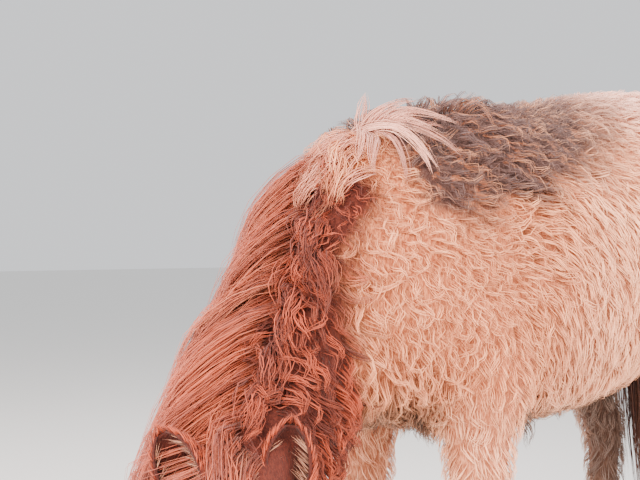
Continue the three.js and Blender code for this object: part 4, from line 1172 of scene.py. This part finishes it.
def lock_of(guides, outward, each, spread, frizz):
    """Hairs around each guide path, apart at the root and together at the tip."""
    count, steps = guides.shape[:2]
    one_each = (count, each, 1, 1)
    s = np.linspace(0, 1, steps)[None, None, :, None]
    run = unit(np.gradient(guides, axis=1))
    side = unit(np.cross(run, outward[:, None]))
    up = np.cross(side, run)
    a, b = own.normal(0, 1, one_each), own.normal(0, 1, one_each)
    wide = spread[0] * (1 - s) + spread[1] * s + sum(spread) * 0.35 * np.sin(math.pi * s)
    bumps = own.uniform(0, math.tau, one_each)
    ripple = frizz * np.sin(bumps + s * own.uniform(6, 14, one_each))
    cut = 1 - 0.25 * own.random(one_each)
    k = np.clip(s * cut * (steps - 1), 0, steps - 1.001)
    i = k.astype(int)
    f = k - i
    index = np.broadcast_to(i[..., 0], (count, each, steps))
    g = np.arange(count)[:, None, None]
    base = guides[g, index] * (1 - f) + guides[g, np.minimum(index + 1, steps - 1)] * f
    paths = base + side[:, None] * (a * wide + ripple) + up[:, None] * (np.abs(b) * wide * 0.45)
    return paths.reshape(count * each, steps, 3)


def between(chain, k):
    """The sections of a limb at places k of its list, which may lie between two stations."""
    i = k.astype(int)
    f = (k - i)[:, None]
    return chain[i] * (1 - f) + chain[i + 1] * f, i


def crest(t):
    """A point on the neck's top, 0 at the withers and 1 at the poll, with up, left and the way along."""
    chain = limbs["neck"]
    row, i = between(chain, np.clip(t * (len(chain) - 1), 0, len(chain) - 1.001))
    run = unit(chain[i + 1, :3] - chain[i, :3])
    left = unit(row[:, 5:8])
    up = unit(np.cross(run, left))
    up = np.where(up[:, 2:3] < 0, -up, up)
    return row[:, :3] + up * row[:, 4:5], up, left, run


def onto_skin(p):
    """The nearest places just under the skin, where hair is rooted."""
    for _ in range(4):
        value, n = sample(flesh, p)
        p = p - n * (value + ROOT_DEPTH)[:, None]
    return p


skin_tree = tree_of(skin_points)


def hair_piece(name, guides, outward, each, spread, width, slot, material, frizz=0.0025):
    """The hairs around these guides as a piece, without those that would hide an ear."""
    outward = np.broadcast_to(outward, (len(guides), 3))
    paths = lock_of(guides, outward, each, spread, frizz)
    shade = np.repeat(own.beta(1.6, 2.0, len(guides)), each) * 0.7 + own.random(len(paths)) * 0.3
    wide = width * own.uniform(0.7, 1.2, len(paths))
    kept = ~hides_ear(paths)
    paths = paths[kept]
    return fur_pieces(
        name, slot, material, 0.5, paths=paths, outward=np.repeat(outward, each, 0)[kept], width=wide[kept],
        uv=vertex_uv[nearest(skin_tree, paths[:, 0])], root=paths[:, 0].copy(), shade=shade[kept])


count = 200
t = np.linspace(0.19, 1.0, count) + own.uniform(-0.01, 0.01, count)
top, up, left, run = crest(np.clip(t, 0, 1))
layer = own.random(count)
root = onto_skin(top - left * (0.012 + 0.030 * layer)[:, None])
heading = up * 0.42 - left * (0.75 + 0.4 * layer)[:, None] + run * own.uniform(0.15, 0.6, (count, 1))
stand = 0.018 + 0.026 * (1 - layer) + 0.032 * smooth(0.25, 0.55, t) * (1 - 0.9 * smooth(0.58, 0.85, t))
guides = fall(root, heading, (0.24, 0.33), 8, stand, (0.29, 0.42), (0.003, 0.007), 0.35)
hair_piece("mane", guides, unit(up - left), 30, (0.011, 0.006), 0.0015, "coat_chestnut", mane_hair)


# Mane on the near side
# Short curly ends that stray to the left of the parting. They are hair of the coat's own colour,
# rooted along the crest, and lie on the neck.
count = 46
top, up, left, run = crest(own.uniform(0.15, 0.84, count))
root = onto_skin(top + left * own.uniform(-0.008, 0.018, (count, 1)))
heading = up * 0.7 + left * own.uniform(0.2, 1.0, (count, 1)) + run * own.uniform(0.0, 0.6, (count, 1))
guides = fall(root, heading, (0.05, 0.10), 8, (0.014, 0.028), (0.25, 0.45), (0.005, 0.010))
hair_piece("mane_near_side", guides, unit(up + left), 12, (0.006, 0.003), 0.0019, "coat_chestnut", coat_fur)


# Mane over the withers
# The oldest, palest hair of the mane, short and soft, rooted where the crest runs out on the withers.
mane_end_hair = hair_colour("mane_end_hair", (232, 164, 140), (150, 88, 70), (196, 118, 90), (190, 112, 84))
count = 30
top, up, left, run = crest(0.12 + 0.15 * own.random(count))
root = onto_skin(top + left * own.normal(0.004, 0.014, (count, 1)))
heading = up * own.uniform(0.25, 0.6, (count, 1)) + left * own.normal(-1.0, 0.25, (count, 1))
heading = heading + run * own.uniform(0.1, 0.7, (count, 1))
guides = fall(root, heading, (0.06, 0.12), 9, (0.008, 0.018), (0.22, 0.40), (0.003, 0.008), 0.2)
hair_piece("mane_withers", guides, up, 16, (0.008, 0.004), 0.0014, "coat_cream", mane_end_hair)


# Wisps at the mane's end
# A few loose locks of pale hair that stand up from the withers and droop on the near side.
# They grow from one spot, each with a heading, a length and a weight of its own.
pale_hair = hair_colour("pale_mane_hair", (236, 176, 156), (160, 104, 92), (204, 134, 110))
WISP_ROOT = np.array((-0.452, -0.012, 0.878))
# x, y and z of the heading, length and weight
WISPS = np.array((
    (0.45, -0.55, 0.90, 0.150, 0.18), (0.50, -0.66, 0.66, 0.165, 0.20), (0.40, -0.80, 0.50, 0.175, 0.21),
    (0.30, -0.85, 0.38, 0.160, 0.25), (0.35, -0.40, 0.98, 0.100, 0.13), (0.62, -0.45, 0.80, 0.090, 0.11),
    (0.05, -0.10, 0.98, 0.055, 0.08), (-0.05, -0.90, 0.10, 0.100, 0.42), (-0.20, -0.80, 0.05, 0.085, 0.42),
    (0.58, -0.58, 0.56, 0.140, 0.18), (0.20, -0.90, 0.35, 0.130, 0.30), (0.60, -0.50, 0.70, 0.125, 0.16),
))
root = onto_skin(WISP_ROOT + own.normal(0, 0.007, (len(WISPS), 3)))
guides = fall(root, WISPS[:, :3], WISPS[:, 3], 10, (0.018, 0.030), WISPS[:, 4], (0.001, 0.003))
wisp_out = unit(np.array((-0.3, -0.8, 0.5)))
hair_piece("mane_end_wisps", guides, wisp_out, 20, (0.0045, 0.0012), 0.0013, "coat_cream", pale_hair, 0.001)


# Fringe under the body
# Curly ends of winter coat, brown with dirt, that hang under the chest and belly and behind the elbows.
# They grow from the line of the belly, and stay loose and short.
fringe_hair = hair_colour("fringe_hair", (120, 86, 66), (58, 42, 36), (168, 122, 96))
count = 80
fringe_x = own.uniform(-0.40, 0.02, count)
fringe_z = np.interp(fringe_x, belly_line[:, 0], belly_line[:, 1])
root = np.stack((fringe_x, own.uniform(-0.085, 0.085, count), fringe_z), 1)
ELBOW = np.array((-0.262, 0.118, 0.505))
for first, mirror in ((0, (1, 1, 1)), (4, (1, -1, 1))):
    root[first:first + 4] = ELBOW * mirror + own.normal(0, 0.006, (4, 3))
root = onto_skin(root)
heading = np.array((0.15, 0, -1.0)) + own.normal(0, 0.35, (count, 3))
guides = fall(root, heading, (0.030, 0.052), 6, (0.010, 0.022), (0.2, 0.5), (0.004, 0.008))
fringe_out = unit(np.stack((own.normal(0, 1, count), own.normal(0, 1, count), 0 * fringe_x), 1))
hair_piece("belly_fringe", guides, fringe_out, 10, (0.005, 0.002), 0.0014, "coat_cream", fringe_hair, 0.002)


# Forelock
# The fan of mane hair that comes forward between the ears and hangs over the forehead.
# It is rooted on the poll and has the colour and the thickness of the mane.
count = 56
along = own.uniform(-0.02, 0.05, (count, 1))
aside = own.uniform(-0.036, 0.020, (count, 1))
root = onto_skin(POLL + ALONG * along + FOREHEAD * -0.005 + NEAR_CHEEK * aside)
heading = FOREHEAD * own.uniform(0.5, 0.9, (count, 1)) + ALONG * 0.5 + NEAR_CHEEK * (aside * 8 - 0.18)
guides = fall(root, heading, (0.12, 0.20), 9, (0.010, 0.024), (0.3, 0.5), (0.003, 0.008))
hair_piece("forelock", guides, FOREHEAD, 20, (0.009, 0.005), 0.0015, "coat_chestnut", mane_hair)


# Tail
# A thick tail of coarse wavy hair, darker than the body, that hangs from the dock to the fetlocks.
# The locks are rooted round the dock, most of them high up, and draw together as they fall.
tail_hair = hair_colour("tail_hair", (122, 74, 54), (62, 36, 30), (150, 100, 76))
TAIL_MIDDLE = np.array((0.585, 0.0, 0.0))
TAIL_OFFSET = np.array((-0.012, 0.030, 0))
count = 130
chain = limbs["dock"]
row = between(chain, own.random(count) ** 0.8 * (len(chain) - 1.001))[0]
angle = own.uniform(-math.pi, math.pi, count)
around = np.stack((np.cos(angle), np.sin(angle), 0 * angle), 1)
root = row[:, :3] + around * row[:, 3:4] * 0.8
heading = around * 0.9 + np.array((0.35, 0, -0.4))
length = np.clip(row[:, 2] - own.uniform(0.14, 0.30, count), 0.30, 0.78)
guides = fall(root, heading, length, 13, (0.004, 0.030), (0.35, 0.6), (0.004, 0.010))
s = np.linspace(0, 1, guides.shape[1])[None, :, None]
inward = (guides - TAIL_MIDDLE) * np.array((1, 1, 0))
guides = guides - inward * 0.35 * s ** 1.5 + TAIL_OFFSET * np.minimum(1, 3 * s)
tail_locks = hair_piece(
    "tail_hair_locks", guides, around, 16, (0.011, 0.006), 0.0040, "tail_hair", tail_hair, 0.004)
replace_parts(tail_locks[0], "tail")


# Ears' hair
# Short soft fur grows up the outside of each ear towards its tip, and a pale tuft of longer fine hair
# grows from the cup's edges and leans into the opening.
ear_tuft_hair = hair_colour("ear_tuft_hair", (176, 124, 98), (96, 58, 46), (150, 98, 76))
for side, word in SIDES:
    count = 700
    r, c = own.uniform(0.02, 0.98, count), own.uniform(-1, 1, count)
    here = ear_point(side, r, c, np.ones(count))
    ahead = ear_point(side, np.minimum(r + 0.05, 1.0), c, np.ones(count))
    aside = ear_point(side, r, np.minimum(c + 0.05, 1.05), np.ones(count))
    normal = unit(np.cross(aside - here, ahead - here))
    away = here - ear_point(side, r, c, np.zeros(count))
    normal = normal * np.sign((normal * away).sum(1, keepdims=True))
    length = own.uniform(0.012, 0.022, (count, 1, 1))
    s = np.linspace(0, 1, 4)[None, :, None]
    paths = here[:, None] - normal[:, None] * 0.001 + unit(ahead - here)[:, None] * s * length
    paths = paths + normal[:, None] * (0.006 * s ** 0.8) + own.normal(0, 0.0012, (count, 1, 3)) * s
    shade = own.random(count) * 0.6
    fur_pieces(
        "ear_fur_" + word, "coat_chestnut", paths=paths, outward=normal, shade=shade, root=here,
        width=own.uniform(0.0014, 0.0024, count), uv=ear_chart(word, r, c, 0))
    count = 90
    r = own.uniform(0.04, 0.80, count)
    c = own.uniform(0.62, 1.0, count) * own.choice((-1, 1), count, p=(0.25, 0.75))
    here = ear_point(side, r, c, np.full(count, 0.1))
    axis = ear_point(side, np.minimum(r + 0.1, 1), 0 * c, 0 * r)
    opening = FOREHEAD + 0.25 * NEAR_CHEEK * side
    target = here + (axis - here) * own.uniform(0.25, 0.6, (count, 1))
    target = target + opening * own.uniform(0.004, 0.014, (count, 1))
    target = target + (ear_point(side, np.minimum(r + 0.3, 1.0), 0 * r, 0 * r) - here) * 0.25
    s = np.linspace(0, 1, 5)[None, :, None]
    paths = here[:, None] * (1 - s) + target[:, None] * s + own.normal(0, 0.003, (count, 1, 3)) * s
    fur_pieces(
        "ear_tuft_" + word, "coat_cream", ear_tuft_hair, paths=paths, root=here,
        outward=np.repeat(opening[None], count, 0), width=own.uniform(0.0008, 0.0013, count),
        uv=ear_chart(word, r, c, 1), shade=own.random(count))


# Eyes
# Dark brown eyes, with the level pupil of a grazing animal, wet and glossy.
# Each is a ball that turns its bulging cornea outward, and sits behind the lids of the skin.
eye_finish, w, shader = finish(
    "eye_finish", Roughness=0.22, Specular_IOR_Level=0.25, Coat_Weight=0.1, Coat_Roughness=0.03)
flecks = w.ramp(w.noise(w.read("root", "Vector"), 300.0), 0.35, 0.7)
iris = w.mix(flecks, colour(36, 18, 11), colour(20, 11, 8))
w.feed(shader.inputs["Base Color"], w.mix(w.ramp(w.read("shade"), 0.92, 1.0), iris, colour(4, 4, 6)))
for word, (middle, gaze, corner, upright) in eyes.items():
    ball = bmesh.new()
    bmesh.ops.create_uvsphere(ball, u_segments=36, v_segments=24, radius=1.0)
    points = np.array([v.co for v in ball.verts])
    faces = [[v.index for v in f.verts] for f in ball.faces]
    ball.free()
    bulge = 1 + 0.03 * smooth(0.75, 1.0, points[:, 2])[:, None]
    pupil = 1.0 - np.clip(np.hypot(points[:, 0] / 0.42, points[:, 1] / 0.20) - 0.85, 0, 1)
    turned = np.stack((corner, upright, gaze))
    placed = middle + points @ turned * (EYE_RADIUS - 0.0005) * bulge
    faces = [f[::-1] if np.linalg.det(turned) < 0 else f for f in faces]
    name = "eyeball_" + word
    ball_mesh = smooth_mesh(name, placed, faces)
    values = {"root": placed, "shade": np.where(points[:, 2] > 0, pupil, 0)}
    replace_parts(place_piece(name, ball_mesh, eye_finish, values), "eye_" + word)


# Hooves
# Small round hooves of yellowish-grey horn with growth rings, flat on the ground, under the feather.
# Each is a leaning cone, widest just above the ground, that meets the skin of the pastern at its top.
HOOF_HEIGHT = 0.044
HOOF_AROUND, HOOF_LEVELS = 40, 14
HOOF_PLACES = {
    "fore_left": (-0.343, -0.105), "fore_right": (-0.343, 0.105),
    "hind_left": (0.407, -0.116), "hind_right": (0.407, 0.116),
}
hoof_horn, w, shader = finish("hoof_horn", Roughness=0.5)
rings = w.noise(w.read("rings", "Vector"), 3.0, 3.0)
horn = w.mix(w.ramp(rings, 0.3, 0.7), colour(126, 112, 96), colour(82, 70, 60))
horn = w.mix(w.ramp(w.read("shade"), 0.0, 0.25, 0.7, 0.0), horn, colour(66, 54, 44))
w.feed(shader.inputs["Base Color"], horn)
relief(w, shader, rings, 0.4, 0.001)
level, turn = np.meshgrid(np.arange(HOOF_LEVELS + 1), np.arange(HOOF_AROUND), indexing="ij")
level, turn = level.ravel(), math.tau * turn.ravel() / HOOF_AROUND
up = HOOF_HEIGHT * level / HOOF_LEVELS
wide = np.interp(up, (0, 0.003, 0.030, HOOF_HEIGHT), (0.0405, 0.0425, 0.034, 0.0285))
wide = wide + 0.0004 * np.sin(level * 2.4)
hoof = np.stack((0.32 * up + wide * 1.06 * np.cos(turn), wide * 0.94 * np.sin(turn), up), 1)
ring = np.arange(HOOF_AROUND)
after = (ring + 1) % HOOF_AROUND
faces = []
for k in range(HOOF_LEVELS):
    low, high = k * HOOF_AROUND, (k + 1) * HOOF_AROUND
    faces += np.stack((low + ring, low + after, high + after, high + ring), 1).tolist()
faces += [ring[::-1].tolist(), (HOOF_LEVELS * HOOF_AROUND + ring).tolist()]
for word, place in HOOF_PLACES.items():
    name = "hoof_horn_" + word
    points = hoof + (*place, 0)
    values = {"rings": points * (4, 4, 160), "shade": up / HOOF_HEIGHT}
    piece = place_piece(name, smooth_mesh(name, points, faces), hoof_horn, values)
    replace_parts(piece, "hoof_" + word)


# Stage
# A pale floor, soft studio light, and a camera a pace and a half off the pony's near shoulder.
floor_mesh = bpy.data.meshes.new("floor")
floor_mesh.from_pydata([(-30, -30, 0), (30, -30, 0), (30, 30, 0), (-30, 30, 0)], [], [(0, 1, 2, 3)])
floor = bpy.data.objects.new("floor", floor_mesh)
bpy.context.collection.objects.link(floor)
pale, w, shader = finish("pale_floor", Base_Color=colour(232, 231, 228), Roughness=0.9)
floor_mesh.materials.append(pale)

world = bpy.data.worlds.new("studio")
bpy.context.scene.world = world
world.use_nodes = True
world.node_tree.nodes["Background"].inputs["Color"].default_value = (0.96, 0.97, 1.0, 1.0)
world.node_tree.nodes["Background"].inputs["Strength"].default_value = 1.05
LIT_PLACE = Vector((-0.1, 0, 0.6))
for name, place, size, power, tint in (
    ("key", (-3.2, -1.2, 2.2), 1.6, 350, (1.0, 0.84, 0.72)),
    ("fill", (0.5, -3.4, 1.5), 2.4, 280, (1.0, 0.88, 0.80)),
    ("top", (0.2, 0.6, 3.4), 2.5, 130, (1.0, 0.94, 0.96)),
    ("side", (-3.4, 1.3, 1.3), 1.6, 170, (1.0, 0.88, 0.82)),
):
    lamp = bpy.data.lights.new(name, "AREA")
    lamp.size = size
    lamp.energy = power
    lamp.color = tint
    light = bpy.data.objects.new(name, lamp)
    light.location = place
    light.rotation_euler = (LIT_PLACE - Vector(place)).to_track_quat("-Z", "Y").to_euler()
    bpy.context.collection.objects.link(light)

CAMERA_YAW = math.radians(48)
CAMERA_PITCH = math.radians(0.34)
CAMERA_PLACE = (-1.726 + SHIFT[0], -1.083 + SHIFT[1], 0.724)
lens = bpy.data.cameras.new("camera")
lens.lens = 67.5
lens.sensor_width = 36
camera = bpy.data.objects.new("camera", lens)
camera.location = CAMERA_PLACE
forward = Vector((
    math.sin(CAMERA_YAW) * math.cos(CAMERA_PITCH),
    math.cos(CAMERA_YAW) * math.cos(CAMERA_PITCH),
    math.sin(CAMERA_PITCH),
))
camera.rotation_euler = forward.to_track_quat("-Z", "Y").to_euler()
bpy.context.collection.objects.link(camera)
bpy.context.scene.camera = camera
